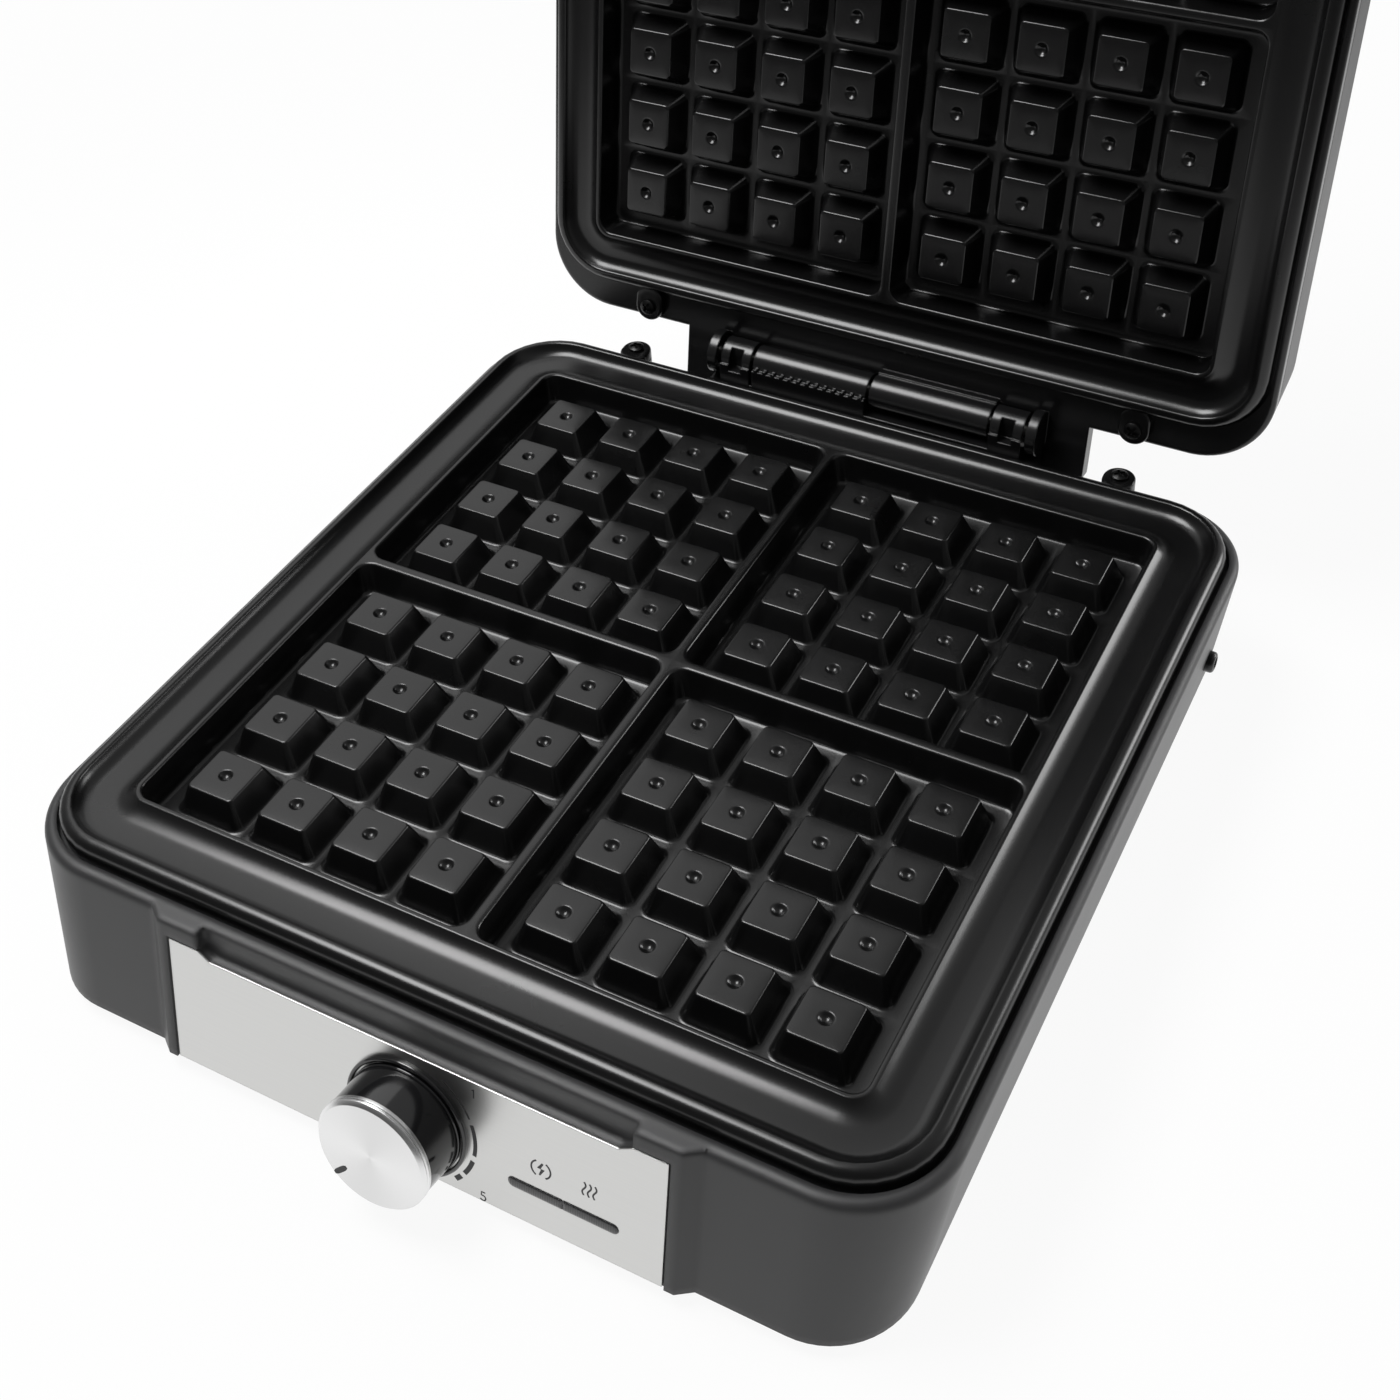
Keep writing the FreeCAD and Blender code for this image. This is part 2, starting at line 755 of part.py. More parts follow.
def thermostat():
    """The thermostat behind the front wall, with its mounting flange and the bearing of the shaft."""
    half_width = thermostat_flange_width / 2
    half_height = thermostat_flange_height / 2
    low = Vector(knob_x - half_width, -knob_below - half_height, wall_inside - thermostat_flange_thickness)
    body = block_between(low, Vector(knob_x + half_width, -knob_below + half_height, wall_inside))
    body = body.fuse(front_hole(thermostat_radius, wall_inside - thermostat_depth, wall_inside))
    bore = front_hole(shaft_radius + shaft_clearance, wall_inside - shaft_in_thermostat - lead_gap, overrun)
    return on_front(body.cut(bore))


def cord_gland():
    """The round supply inlet in the right-hand wall, near the back."""
    share = (gland_z - foot_height) / base_depth
    wall_x = blend(bottom_half, ledge_half, share)
    flange_face = Vector(wall_x - gland_flange_setback, gland_y, gland_z)
    tip = Vector(wall_x + gland_reach, gland_y, gland_z)
    body = rod(gland_radius, flange_face, tip)
    rims = [edge for edge in body.Edges
            if edge.Closed and abs(edge.CenterOfMass.x - tip.x) < gland_round / 10]
    body = body.makeFillet(gland_round, rims)
    body = body.fuse(rod(gland_flange_radius, flange_face - along_x * gland_flange_thickness, flange_face))
    return body.cut(rod(gland_bore, tip - along_x * gland_bore_depth, tip + along_x * overrun))


def terminal_block():
    """The block on the cover in which the supply ends."""
    low = Vector(terminal_x - terminal_length / 2, gland_y - terminal_width / 2, cover_z)
    return block_between(low, low + Vector(terminal_length, terminal_width, terminal_height))


def inner_leads():
    """Two leads from the terminal block along the cover to the back of the thermostat."""
    back = front_frame.multVec(Vector(knob_x, -knob_below, wall_inside - thermostat_depth - lead_gap))
    leads = []
    for side in mirrored:
        level = cover_z + lead_height
        y = gland_y + side * lead_spacing / 2
        turn_x = lead_turn_x + side * lead_spacing / 2
        start = Vector(terminal_x - terminal_length / 2 - lead_gap, y, level)
        corner = Vector(turn_x, y, level)
        end = Vector(turn_x, back.y + lead_spacing, level)
        share = 1 - math.sqrt(0.5)
        first = corner + along_x * lead_bend
        second = corner - along_y * lead_bend
        middle = corner + along_x * (lead_bend * share) - along_y * (lead_bend * share)
        arc = Part.Arc(first, middle, second).toShape()
        path = Part.Wire([Part.makeLine(start, first), arc, Part.makeLine(second, end)])
        section = Part.Wire(Part.makeCircle(lead_radius, start, along_x))
        leads.append(path.makePipeShell([section], True, False))
    return Part.makeCompound(leads)


def hinge_round(radius, start, end):
    """A round bar on the hinge axis between two places along it."""
    return rod(radius, Vector(start, hinge_y, hinge_z), Vector(end, hinge_y, hinge_z))


def hinge_bracket():
    """The base's half of the hinge: a plate on the back wall, a barrel, two rings and a ribbed strip."""
    low = ledge_z - bracket_below_ledge - bracket_height
    top = ledge_z - bracket_below_ledge
    plate_back = ledge_back + bracket_thickness
    body = block_between(Vector(-ring_end, ledge_back, low), Vector(ring_end, plate_back, top))
    for end, radius in ((ring_end, barrel_radius), (lug_end, lug_radius)):
        shelf_top = hinge_z - radius - hinge_clearance
        shelf = block_between(Vector(-end, ledge_back, shelf_top - bracket_shelf_thickness),
                              Vector(end, ledge_back + bracket_shelf_reach, shelf_top))
        body = body.fuse(shelf)
    knuckles = ((-barrel_end, -barrel_start, barrel_radius), (-ring_end, -ring_start, ring_radius),
                (ring_start, ring_end, ring_radius))
    for start, end, radius in knuckles:
        arm = block_between(Vector(start, ledge_back, low), Vector(end, hinge_y + arm_past_axis, hinge_z))
        body = body.fuse([arm, hinge_round(radius, start, end)])
    pitch = barrel_length / rib_count
    strip_y = ledge_back + rib_setback
    for index in range(rib_count):
        x = -barrel_end + (index + 0.5) * pitch - rib_width / 2
        rib_low = Vector(x, strip_y - rib_setback, hinge_z - barrel_radius / 2)
        rib = block_between(rib_low, rib_low + Vector(rib_width, rib_depth, barrel_radius / 2 + rib_height))
        body = body.fuse(rib)
    for side in mirrored:
        middle = side * ring_middle
        window_front = hinge_y - ring_radius - overrun
        window_low = Vector(middle - ring_window / 2, window_front, hinge_z - ring_window / 2)
        window_high = Vector(middle + ring_window / 2, hinge_y - ring_window_floor, hinge_z + ring_radius)
        body = body.cut(block_between(window_low, window_high))
        seat = Vector(side * ring_middle, 0, ledge_z - bracket_screw_drop)
        body = body.cut(rod(tab_hole, seat + along_y * ledge_back,
                            seat + along_y * (hinge_y + 2 * overrun)))
        head_room = rod(tab_head_radius + cover_clearance, seat + along_y * plate_back,
                        seat + along_y * (hinge_y + 2 * overrun))
        body = body.cut(head_room)
    return body.cut(hinge_round(pin_hole, -ear_end, ear_end)).removeSplitter()


def bracket_screws():
    """The two screws that hold the hinge bracket to the base's back wall."""
    screws = []
    for side in mirrored:
        seat = Vector(side * ring_middle, ledge_back + bracket_thickness, ledge_z - bracket_screw_drop)
        head = rod(tab_head_radius, seat, seat + along_y * tab_head_height)
        screws.append(head.fuse(rod(tab_screw_radius, seat - along_y * bracket_screw_length, seat)))
    return Part.makeCompound(screws)


def hinge_pin():
    """The steel pin through the whole hinge."""
    end = lug_end - lug_cap - pin_end_gap
    return hinge_round(pin_radius, -end, end)


def lid_frame():
    """The lid's frame round the upper plate, with the hinge's ears, lugs, web and right-hand barrel."""
    body = between(lid_section, lid_ledge_z, frame_z, 0)
    body = body.makeFillet(frame_round, level_edges(body, lid_ledge_z))
    root_y = lid_back - ear_root
    web_low = hinge_z + ring_radius + hinge_clearance
    web = block_between(Vector(-ear_start, root_y, web_low), Vector(ear_start, hinge_y + web_reach, frame_z))
    body = body.fuse(web)
    for side in mirrored:
        start, end = sorted((side * ear_start, side * ear_end))
        ear = Part.Face(outline(start, end, root_y, hinge_y + ear_reach, ear_round, lid_ledge_z))
        body = body.fuse(ear.extrude(along_z * frame_height))
    body = body.cut(hinge_round(ring_radius + hinge_clearance, -ear_start, ear_start))
    body = body.cut(square_slab(shelf_half, shelf_corner, lid_ledge_z - overrun, frame_z + overrun))
    opening = square_slab(lid_opening_half, lid_opening_corner, lid_ledge_z - overrun, lid_seat_z)
    body = body.cut(opening)
    for side in mirrored:
        body = body.fuse(hinge_round(lug_radius, side * ear_start, side * lug_end))
        body = body.cut(hinge_round(pin_hole, side * (ear_start - overrun), side * (lug_end - lug_cap)))
    low_z = hinge_z + barrel_radius - barrel_flange
    foot = Vector(barrel_start, root_y, low_z)
    arm = block_between(foot, Vector(barrel_end, hinge_y, hinge_z + barrel_radius))
    rise = block_between(foot, Vector(barrel_end, lid_back, frame_z))
    barrel = hinge_round(barrel_radius, barrel_start, barrel_end).fuse([arm, rise])
    body = body.fuse(barrel.cut(hinge_round(pin_hole, -overrun, ear_start)))
    for side in mirrored:
        top = Vector(side * tab_place, lid_tab_y, lid_ledge_z)
        body = body.cut(rod(tab_hole, top - along_z * overrun, top + along_z * (frame_height + overrun)))
    for place in base_posts():
        seat = place + along_z * lid_seat_z
        body = body.cut(rod(post_head_radius + cover_clearance, seat, seat + along_z * post_head_height))
        body = body.cut(rod(post_hole, seat, seat + along_z * frame_height))
    return body.removeSplitter()


def frame_screws():
    """The four screws that hold the lid's frame to its cover, heads sunk under the plate."""
    screws = []
    for place in base_posts():
        seat = place + along_z * (lid_seat_z + post_head_height)
        head = rod(post_head_radius, place + along_z * lid_seat_z, seat)
        screws.append(head.fuse(rod(post_screw_radius, seat, seat + along_z * post_screw_length)))
    return Part.makeCompound(screws)


def lid_cover():
    """The lid's outer shell, with a round upper edge and posts for the screws of the frame."""
    outer = between(lid_section, frame_z, lid_top_z, 0)
    outer = outer.makeFillet(lid_edge_round, level_edges(outer, lid_top_z))
    body = outer.cut(between(lid_section, frame_z - overrun, lid_top_z - housing_wall, housing_wall))
    for place in base_posts():
        post = rod(post_radius, place + along_z * frame_z, place + along_z * (lid_top_z - housing_wall / 2))
        bore = rod(post_hole, place,
                   place + along_z * (lid_seat_z + post_head_height + post_screw_length + screw_clearance))
        body = body.fuse(post.cut(bore))
    for side in mirrored:
        axis = Vector(side * handle_screw_x, 0, frame_z + handle_screw_up)
        body = body.cut(rod(handle_screw_radius + screw_clearance, axis, axis + along_y * 2 * lid_front))
    return body.removeSplitter()


def lid_handle():
    """The grip on the front of the lid, hollowed from below for the fingers."""
    low = frame_z - frame_height + handle_low
    high = low + handle_height
    front = lid_front - handle_reach
    back = lid_front + lid_front_taper
    block = block_between(Vector(-handle_half, front, low), Vector(handle_half, back, high))
    edges = [edge for edge in block.Edges if all(vertex.Y < back - handle_round for vertex in edge.Vertexes)]
    block = block.makeFillet(handle_round, edges)
    scoop_half = handle_half - handle_scoop
    scoop_back = front + handle_round + handle_scoop_reach
    block = block.cut(block_between(Vector(-scoop_half, front + handle_round, low - overrun),
                                    Vector(scoop_half, scoop_back, low + handle_scoop)))
    block = block.cut(between(lid_section, lid_ledge_z, lid_top_z, 0))
    for side in mirrored:
        axis = Vector(side * handle_screw_x, 0, frame_z + handle_screw_up)
        tip = axis + along_y * (lid_front - handle_screw_in)
        block = block.cut(rod(handle_screw_radius + screw_clearance, axis, tip))
    return block


def handle_screws():
    """The two screws that hold the handle from inside the lid."""
    share = (frame_z + handle_screw_up + handle_head_radius - lid_ledge_z) / lid_depth
    inside = lid_front + lid_front_taper * share + housing_wall + handle_head_gap
    screws = []
    for side in mirrored:
        seat = Vector(side * handle_screw_x, inside, frame_z + handle_screw_up)
        tip = Vector(seat.x, lid_front - handle_screw_in + handle_head_gap, seat.z)
        head = rod(handle_head_radius, seat, seat + along_y * handle_head_height)
        screws.append(head.fuse(rod(handle_screw_radius, seat, tip)))
    return Part.makeCompound(screws)


def open_lid(shape):
    """Turns a piece of the closed lid about the hinge to where the lid stands open."""
    turned = shape.copy()
    turned.rotate(hinge_axis, along_x, -open_angle)
    return turned


base_nodes["lower_waffle_plate"] = waffle_plate(plate_half, plate_corner, tab_y)
base_nodes["lower_waffle_blocks"] = waffle_blocks()
base_nodes["lower_plate_screws"] = tab_screws(tab_y)
base_nodes["lower_heating_element"] = heater()
base_nodes["lower_heat_reflector"] = reflector()
base_nodes["base_housing"] = base_housing()
base_nodes["base_bottom_cover"] = bottom_cover()
base_nodes["bottom_screws"] = cover_screws()
base_nodes["rubber_feet"] = feet()
base_nodes["control_panel"] = control_panel()
base_nodes["power_light_lens"], base_nodes["ready_light_lens"] = light_lenses()
base_nodes["indicator_board"] = indicator_board()
base_nodes["indicator_lamps"] = indicator_lamps()
base_nodes["knob_bezel"] = knob_bezel()
base_nodes["knob_body"] = knob_body()
base_nodes["knob_cap"] = knob_cap()
base_nodes["knob_pointer"] = on_front(pointer_shape())
base_nodes["thermostat_shaft"] = thermostat_shaft()
base_nodes["thermostat"] = thermostat()
base_nodes["cord_gland"] = cord_gland()
base_nodes["terminal_block"] = terminal_block()
base_nodes["inner_leads"] = inner_leads()
base_nodes["hinge_bracket"] = hinge_bracket()
base_nodes["hinge_bracket_screws"] = bracket_screws()
base_nodes["hinge_pin"] = hinge_pin()
lid_nodes["lid_frame"] = lid_frame()
lid_nodes["lid_frame_screws"] = frame_screws()
lid_nodes["lid_cover"] = lid_cover()
lid_nodes["lid_handle"] = lid_handle()
lid_nodes["lid_handle_screws"] = handle_screws()
lid_nodes["upper_waffle_plate"] = mirror_up(waffle_plate(lid_plate_half, lid_plate_corner, lid_tab_y))
lid_nodes["upper_plate_screws"] = mirror_up(tab_screws(lid_tab_y))
for name in ("waffle_blocks", "heating_element", "heat_reflector"):
    lid_nodes["upper_" + name] = mirror_up(base_nodes["lower_" + name])

nodes = dict(base_nodes)
for name, shape in lid_nodes.items():
    nodes[name] = open_lid(shape)

whole = Part.makeCompound(list(nodes.values())).optimalBoundingBox()
shift = Vector(-whole.Center.x, -whole.Center.y, -whole.ZMin)
os.makedirs("parts", exist_ok=True)
for name, shape in nodes.items():
    shape.translate(shift)
    shape.exportStep("parts/" + name + ".step")
    print(name, "solids", len(shape.Solids), "valid", shape.isValid(), "volume", round(shape.Volume))
print("shift", tuple(round(value, 4) for value in shift))
print("box", tuple(round(value, 2) for value in (whole.XLength, whole.YLength, whole.ZLength)))
print("hinge at", tuple(round(value, 4) for value in hinge_axis + shift))
knob_at = front_frame.multVec(Vector(knob_x, -knob_below, panel_face)) + shift
print("knob at", tuple(round(value, 4) for value in knob_at), "slope", round(math.degrees(slope), 4))
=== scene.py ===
"""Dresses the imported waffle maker: cast plates, knob, panel marks and screws as worked-out surfaces, finishes for
every piece, and a white studio with a camera at the photograph's viewing angle.  All lengths are in metres."""

import json
import math

import bmesh
import bpy
import numpy as np
from mathutils import Matrix, Vector


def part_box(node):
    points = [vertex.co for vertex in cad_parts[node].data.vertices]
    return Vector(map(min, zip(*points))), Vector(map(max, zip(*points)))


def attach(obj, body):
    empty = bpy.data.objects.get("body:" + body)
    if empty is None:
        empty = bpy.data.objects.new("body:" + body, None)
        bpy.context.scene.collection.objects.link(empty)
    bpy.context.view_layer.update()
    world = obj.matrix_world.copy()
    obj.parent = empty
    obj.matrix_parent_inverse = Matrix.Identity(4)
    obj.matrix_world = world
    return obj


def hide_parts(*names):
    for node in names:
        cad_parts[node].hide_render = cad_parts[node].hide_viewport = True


bl_info = {
    "name": "Waffle Maker Dresser",
    "version": (1, 0, 0),
    "blender": (4, 5, 0),
    "location": "View3D > Sidebar > Waffle Maker",
    "description": "Builds the visible surfaces and finishes of a square waffle maker",
    "category": "Object",
}

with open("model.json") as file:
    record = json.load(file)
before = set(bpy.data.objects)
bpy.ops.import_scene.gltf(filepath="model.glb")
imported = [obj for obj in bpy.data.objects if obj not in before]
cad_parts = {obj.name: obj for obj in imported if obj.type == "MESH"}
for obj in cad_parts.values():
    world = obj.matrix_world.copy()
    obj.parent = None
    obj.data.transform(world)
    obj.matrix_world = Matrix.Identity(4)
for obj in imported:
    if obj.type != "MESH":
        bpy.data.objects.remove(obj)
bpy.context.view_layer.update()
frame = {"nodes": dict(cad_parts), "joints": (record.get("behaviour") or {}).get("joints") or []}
JOINTS = {joint["name"]: joint for joint in frame["joints"]}
HINGE = Vector(JOINTS["lid_hinge"]["pos_m"])
OPEN_ANGLE = math.radians(JOINTS["lid_hinge"]["range_deg"][1])
PLATE_LOW, PLATE_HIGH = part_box("lower_waffle_plate")
PLATE_HALF = PLATE_HIGH.x
PLATE_Y = PLATE_LOW.y + PLATE_HALF
UPPER_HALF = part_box("upper_waffle_plate")[1].x
KNOB = Vector(JOINTS["knob_turn"]["pos_m"])
OUTWARD = -Vector(JOINTS["knob_turn"]["axis"]).normalized()
ALONG = Vector((1.0, 0.0, 0.0))
UPWARD = OUTWARD.cross(ALONG)


def length(name, default, description):
    """A length in metres that a user may change."""
    return bpy.props.FloatProperty(name=name, description=description, default=default, unit="LENGTH", precision=5)


def number(name, default, description):
    """A plain number that a user may change."""
    return bpy.props.FloatProperty(name=name, description=description, default=default)


def angle(name, degrees, description):
    """An angle, given in degrees, that a user may change."""
    return bpy.props.FloatProperty(name=name, description=description, default=math.radians(degrees), subtype="ANGLE")


def colour(name, default, description):
    """A colour in linear red, green and blue that a user may change."""
    return bpy.props.FloatVectorProperty(name=name, description=description, default=default, subtype="COLOR",
                                         size=3, min=0.0, max=1.0)


class PlateSizes(bpy.types.PropertyGroup):
    """Sizes of the cast waffle plates."""
    flange_z: length("Flange height", 0.0500, "Underside of the flange above the table")
    pan_half: length("Pan half width", 0.1190, "Half the width of the pan under the flange")
    pan_corner: length("Pan corner", 0.0095, "Corner radius of the pan")
    gap: length("Gap", 0.0025, "Between the lips of the two plates when the lid is closed")
    corner: length("Plate corner", 0.0250, "Corner radius of the lower plate's lip")
    upper_corner: length("Upper plate corner", 0.0220, "Corner radius of the upper plate's lip")
    lip_width: length("Lip width", 0.0034, "From the lip's outside to its crest")
    lip_round: length("Lip rounding", 0.0033, "Rounding of the lip's outer edge")
    lip_crest: length("Lip crest", 0.0010, "Rounding of the lip's inner edge")
    lip_hollow: length("Lip hollow", 0.0050, "Hollow at the foot of the lip")
    gutter_drop: length("Gutter drop", 0.0040, "Gutter floor below the lip's top")
    rim_hollow: length("Rim hollow", 0.0095, "Hollow at the foot of the rim's outside")
    rim_drop: length("Rim drop", 0.0010, "Rim's top below the lip's top")
    rim_half: length("Rim half width", 0.1175, "Half the width over the rim")
    rim_corner: length("Rim corner", 0.0066, "Corner radius of the rim's outside")
    edge_round: length("Edge rounding", 0.0008, "Rounding of the rim's and ridges' edges")
    pocket_out: length("Pocket outer edge", 0.1155, "Outer edge of a pocket at its top, from the middle")
    pocket_in: length("Pocket inner edge", 0.0017, "Inner edge of a pocket at its top, from the middle")
    pocket_draft_out: length("Pocket outer draft", 0.0012, "How far the outer walls lean")
    pocket_draft_in: length("Pocket inner draft", 0.0019, "How far the ridges' walls lean")
    pocket_corner: length("Pocket corner", 0.0042, "Corner radius of a pocket")
    pocket_floor: length("Pocket floor", 0.0460, "Pocket floor above the table")
    floor_round: length("Floor rounding", 0.0014, "Hollow between walls and floor")
    block_first: length("First block", 0.0191, "Middle of the first block from the plate's middle")
    block_pitch: length("Block pitch", 0.0260, "From one block to the next")
    block_top: length("Block top", 0.0160, "Width of a block's top")
    block_base: length("Block base", 0.0228, "Width of a block's foot")
    block_height: length("Block height", 0.0090, "Height of a block over the floor")
    block_corner: length("Block corner", 0.0014, "Corner radius of a block")
    block_round: length("Block rounding", 0.0007, "Rounding of a block's upper edges")
    dimple_radius: length("Dimple radius", 0.0021, "Radius of the dimple in a block")
    dimple_depth: length("Dimple depth", 0.0014, "Depth of the dimple in a block")
    tab_x: length("Tab place", 0.0940, "Middle of a screw tab from the plate's middle")
    tab_y: length("Tab reach", 0.1432, "Screw of the lower plate's tabs behind the plate's middle")
    upper_tab_y: length("Upper tab reach", 0.1413, "Screw of the upper plate's tabs behind the plate's middle")
    tab_radius: length("Tab radius", 0.0055, "Radius of a tab's round end")
    tab_low: length("Tab underside", 0.0530, "Underside of a tab above the table")
    tab_thickness: length("Tab thickness", 0.0035, "Thickness of a tab")
    tab_round: length("Tab rounding", 0.0009, "Rounding of a tab's upper edge")


class KnobSizes(bpy.types.PropertyGroup):
    """Sizes of the control knob, its bezel and the marks on the panel."""
    body_radius: length("Body radius", 0.0174, "Radius of the knob's foot")
    body_taper: length("Body taper", 0.0005, "How much narrower the knob is at its front")
    lift: length("Lift", 0.0005, "Gap between panel and knob")
    rise: length("Rise", 0.0134, "Length of the knob's body")
    collar: length("Collar", 0.0016, "Height of the collar at the knob's foot")
    cap_radius: length("Cap radius", 0.0172, "Radius of the metal cap")
    cap_thickness: length("Cap thickness", 0.0030, "Thickness of the metal cap")
    cap_chamfer: length("Cap chamfer", 0.0009, "Bright chamfer round the cap")
    bezel_inner: length("Bezel inner radius", 0.0178, "Inside of the ring on the panel")
    bezel_outer: length("Bezel outer radius", 0.0191, "Outside of the ring on the panel")
    bezel_height: length("Bezel height", 0.0017, "Height of the ring on the panel")
    pointer_place: length("Pointer place", 0.0136, "Middle of the pointer from the knob's axis")
    pointer_length: length("Pointer length", 0.0054, "Length of the pointer")
    pointer_width: length("Pointer width", 0.0017, "Width of the pointer")
    pointer_angle: angle("Pointer angle", 225.0, "Direction of the pointer at rest")
    mark_radius: length("Scale radius", 0.0212, "Radius of the scale on the panel")
    mark_height: length("Mark height", 0.00004, "How far the printed marks stand off the panel")
    digit_height: length("Digit height", 0.0030, "Height of the figures at both ends of the scale")
    digit_width: length("Digit stroke", 0.0004, "Width of the figures' strokes")
    light_left: length("Lights from", 0.0315, "Left end of the lights from the knob's axis")
    light_right: length("Lights to", 0.0643, "Right end of the lights from the knob's axis")
    light_height: length("Light height", 0.0030, "Height of the lights")
    light_divider: length("Light divider", 0.00015, "Gap between the two lights")
    light_overlap: length("Light overlap", 0.0001, "How far the lenses' edges lie over the slot's edge")
    light_rise: length("Light rise", 0.00035, "How far the lenses stand out of the panel")


class FinishColours(bpy.types.PropertyGroup):
    """Colours of the finishes."""
    coating: colour("Coating", (0.0030, 0.0030, 0.0031), "Non-stick coating of the plates")
    housing: colour("Housing", (0.029, 0.029, 0.030), "Matte plastic of base and lid")
    hinge: colour("Hinge plastic", (0.007, 0.007, 0.0073), "Black plastic of the hinge and the lid's frame")
    gloss: colour("Knob plastic", (0.006, 0.006, 0.0065), "Gloss plastic of the knob")
    panel: colour("Panel", (0.62, 0.62, 0.61), "Brushed steel of the panel")
    cap: colour("Cap", (0.82, 0.82, 0.82), "Turned metal of the knob's cap")
    steel: colour("Steel", (0.42, 0.41, 0.40), "Screws and hinge pin")
    ink: colour("Ink", (0.03, 0.03, 0.032), "Printed marks on the panel")
    lens: colour("Lens", (0.020, 0.020, 0.021), "Smoked lenses of the lights")
    rubber: colour("Rubber", (0.018, 0.018, 0.018), "Feet and leads")


class StageSettings(bpy.types.PropertyGroup):
    """Camera and light."""
    focal_pixels: number("Focal length", 1940.0, "Focal length in pixels of the photograph")
    photo_pixels: number("Photograph width", 1400.0, "Width of the photograph in pixels")
    centre_row: number("Centre row", 480.0, "Row of the photograph on the optical axis")
    camera_place: bpy.props.FloatVectorProperty(name="Camera place", subtype="TRANSLATION", unit="LENGTH",
                                                description="Camera from the plate's middle at the blocks' tops",
                                                default=(0.22806, -0.36929, 0.41390))
    turn: angle("Turn", 30.17, "Direction of view, from straight ahead to the left")
    pitch: angle("Pitch", 38.27, "Downward tilt of the view")
    roll: angle("Roll", -3.53, "Tilt of the picture")
    floor_half: length("Floor half width", 6.0, "Half the width of the floor")
    sky: number("Sky", 0.45, "Strength of the light from behind")
    front_sky: number("Front sky", 0.12, "Strength of the light from the front")
    top_light: number("Top light", 16.0, "Power of the light over the plates in watts")
    left_light: number("Left light", 4.5, "Power of the light on the left in watts")
    right_light: number("Right light", 12.0, "Power of the light on the right in watts")


# Meshes from arrays


WELD_DISTANCE = 2e-6
SLIVER = 1e-7
SMOOTH_ANGLE = 40.0
CRISP_ANGLE = 20.0
FINISH = {}


def new_piece(name, points, faces, material, smooth_angle=SMOOTH_ANGLE):
    """A welded, smooth mesh object from an array of points and an array of faces."""
    mesh = bpy.data.meshes.new(name)
    mesh.from_pydata(points.tolist(), [], faces.tolist())
    work = bmesh.new()
    work.from_mesh(mesh)
    bmesh.ops.remove_doubles(work, verts=work.verts, dist=WELD_DISTANCE)
    bmesh.ops.dissolve_degenerate(work, edges=work.edges, dist=SLIVER)
    work.to_mesh(mesh)
    work.free()
    mesh.shade_smooth()
    mesh.set_sharp_from_angle(angle=math.radians(smooth_angle))
    mesh.materials.append(material)
    piece = bpy.data.objects.new(name, mesh)
    bpy.context.scene.collection.objects.link(piece)
    return piece


def dressed(name, mesh, finish, body, slot, *nodes, smooth_angle=SMOOTH_ANGLE):
    """A piece from points and faces with a finish, which rides on a body and stands for nodes of the model."""
    piece = new_piece(name, *mesh, FINISH[finish], smooth_angle)
    if nodes:
        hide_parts(*nodes)
    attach(piece, body)


def grid_faces(rows, columns, closed):
    """Corner rows of a grid: each cell joins a row to the next, and the last column to the first if closed."""
    last = columns if closed else columns - 1
    row, column = np.meshgrid(np.arange(rows - 1), np.arange(last), indexing="ij")
    beside = (column + 1) % columns
    quads = np.stack([row * columns + column, row * columns + beside, (row + 1) * columns + beside,
                      (row + 1) * columns + column], axis=-1)
    return quads.reshape(-1, 4)


def join_grids(*grids, strip=None):
    """One array of points and one of faces from several grids of closed loops and a strip that is not closed."""
    points = []
    faces = []
    start = 0
    for grid in grids if strip is None else (*grids, strip):
        rows, columns = grid.shape[:2]
        points.append(grid.reshape(-1, 3))
        faces.append(grid_faces(rows, columns, grid is not strip) + start)
        start += rows * columns
    return np.concatenate(points), np.concatenate(faces)


def arc(centre, radius, start, end, steps):
    """Points of a circular arc in a plane: centre plus radius times cosine and sine of evenly spaced angles."""
    angles = np.linspace(math.radians(start), math.radians(end), steps)
    return np.stack([centre[0] + radius * np.cos(angles), centre[1] + radius * np.sin(angles)], axis=-1)


CORNER_STEPS = 8
SIDE_SHARES = np.linspace(0.0, 1.0, 4)
ROUND_STEPS = 5
LIP_STEPS = 10
SWELL_STEPS = 9


def corner_points(centre_x, centre_y, radius, quarter):
    """A quarter circle about a corner's centre, counted anticlockwise from the front right."""
    return arc((centre_x, centre_y), radius, 90.0 * quarter - 90.0, 90.0 * quarter, CORNER_STEPS + 1)


def box_loop(left, right, front, back, radii, shares=(SIDE_SHARES,) * 4):
    """A closed loop round a rectangle: each corner is a quarter circle of its own radius, and each side has points
    at the given shares of its straight length.  Starts at the front right corner and runs anticlockwise."""
    centres = [(right - radii[0], front + radii[0]), (right - radii[1], back - radii[1]),
               (left + radii[2], back - radii[2]), (left + radii[3], front + radii[3])]
    corners = [corner_points(x, y, radius, index) for index, ((x, y), radius) in enumerate(zip(centres, radii))]
    parts = []
    for index, corner in enumerate(corners):
        end = corners[(index + 1) % 4][0]
        side = corner[-1] + shares[index][1:-1, None] * (end - corner[-1])
        parts.extend([corner, side])
    return np.concatenate(parts)


def lifted(loop, height):
    """A flat loop at a height."""
    return np.column_stack([loop, np.full(len(loop), height)])


def bend(x, z, radius, start, end, steps):
    """An arc between two slopes: x plus radius times the slope's sine, z plus radius times 1 less its cosine.  It is
    level at (x, z), and a radius below 0 bends it back and down."""
    angles = np.linspace(start, end, steps)
    return np.column_stack([x + radius * np.sin(angles), z + radius * (1 - np.cos(angles))])


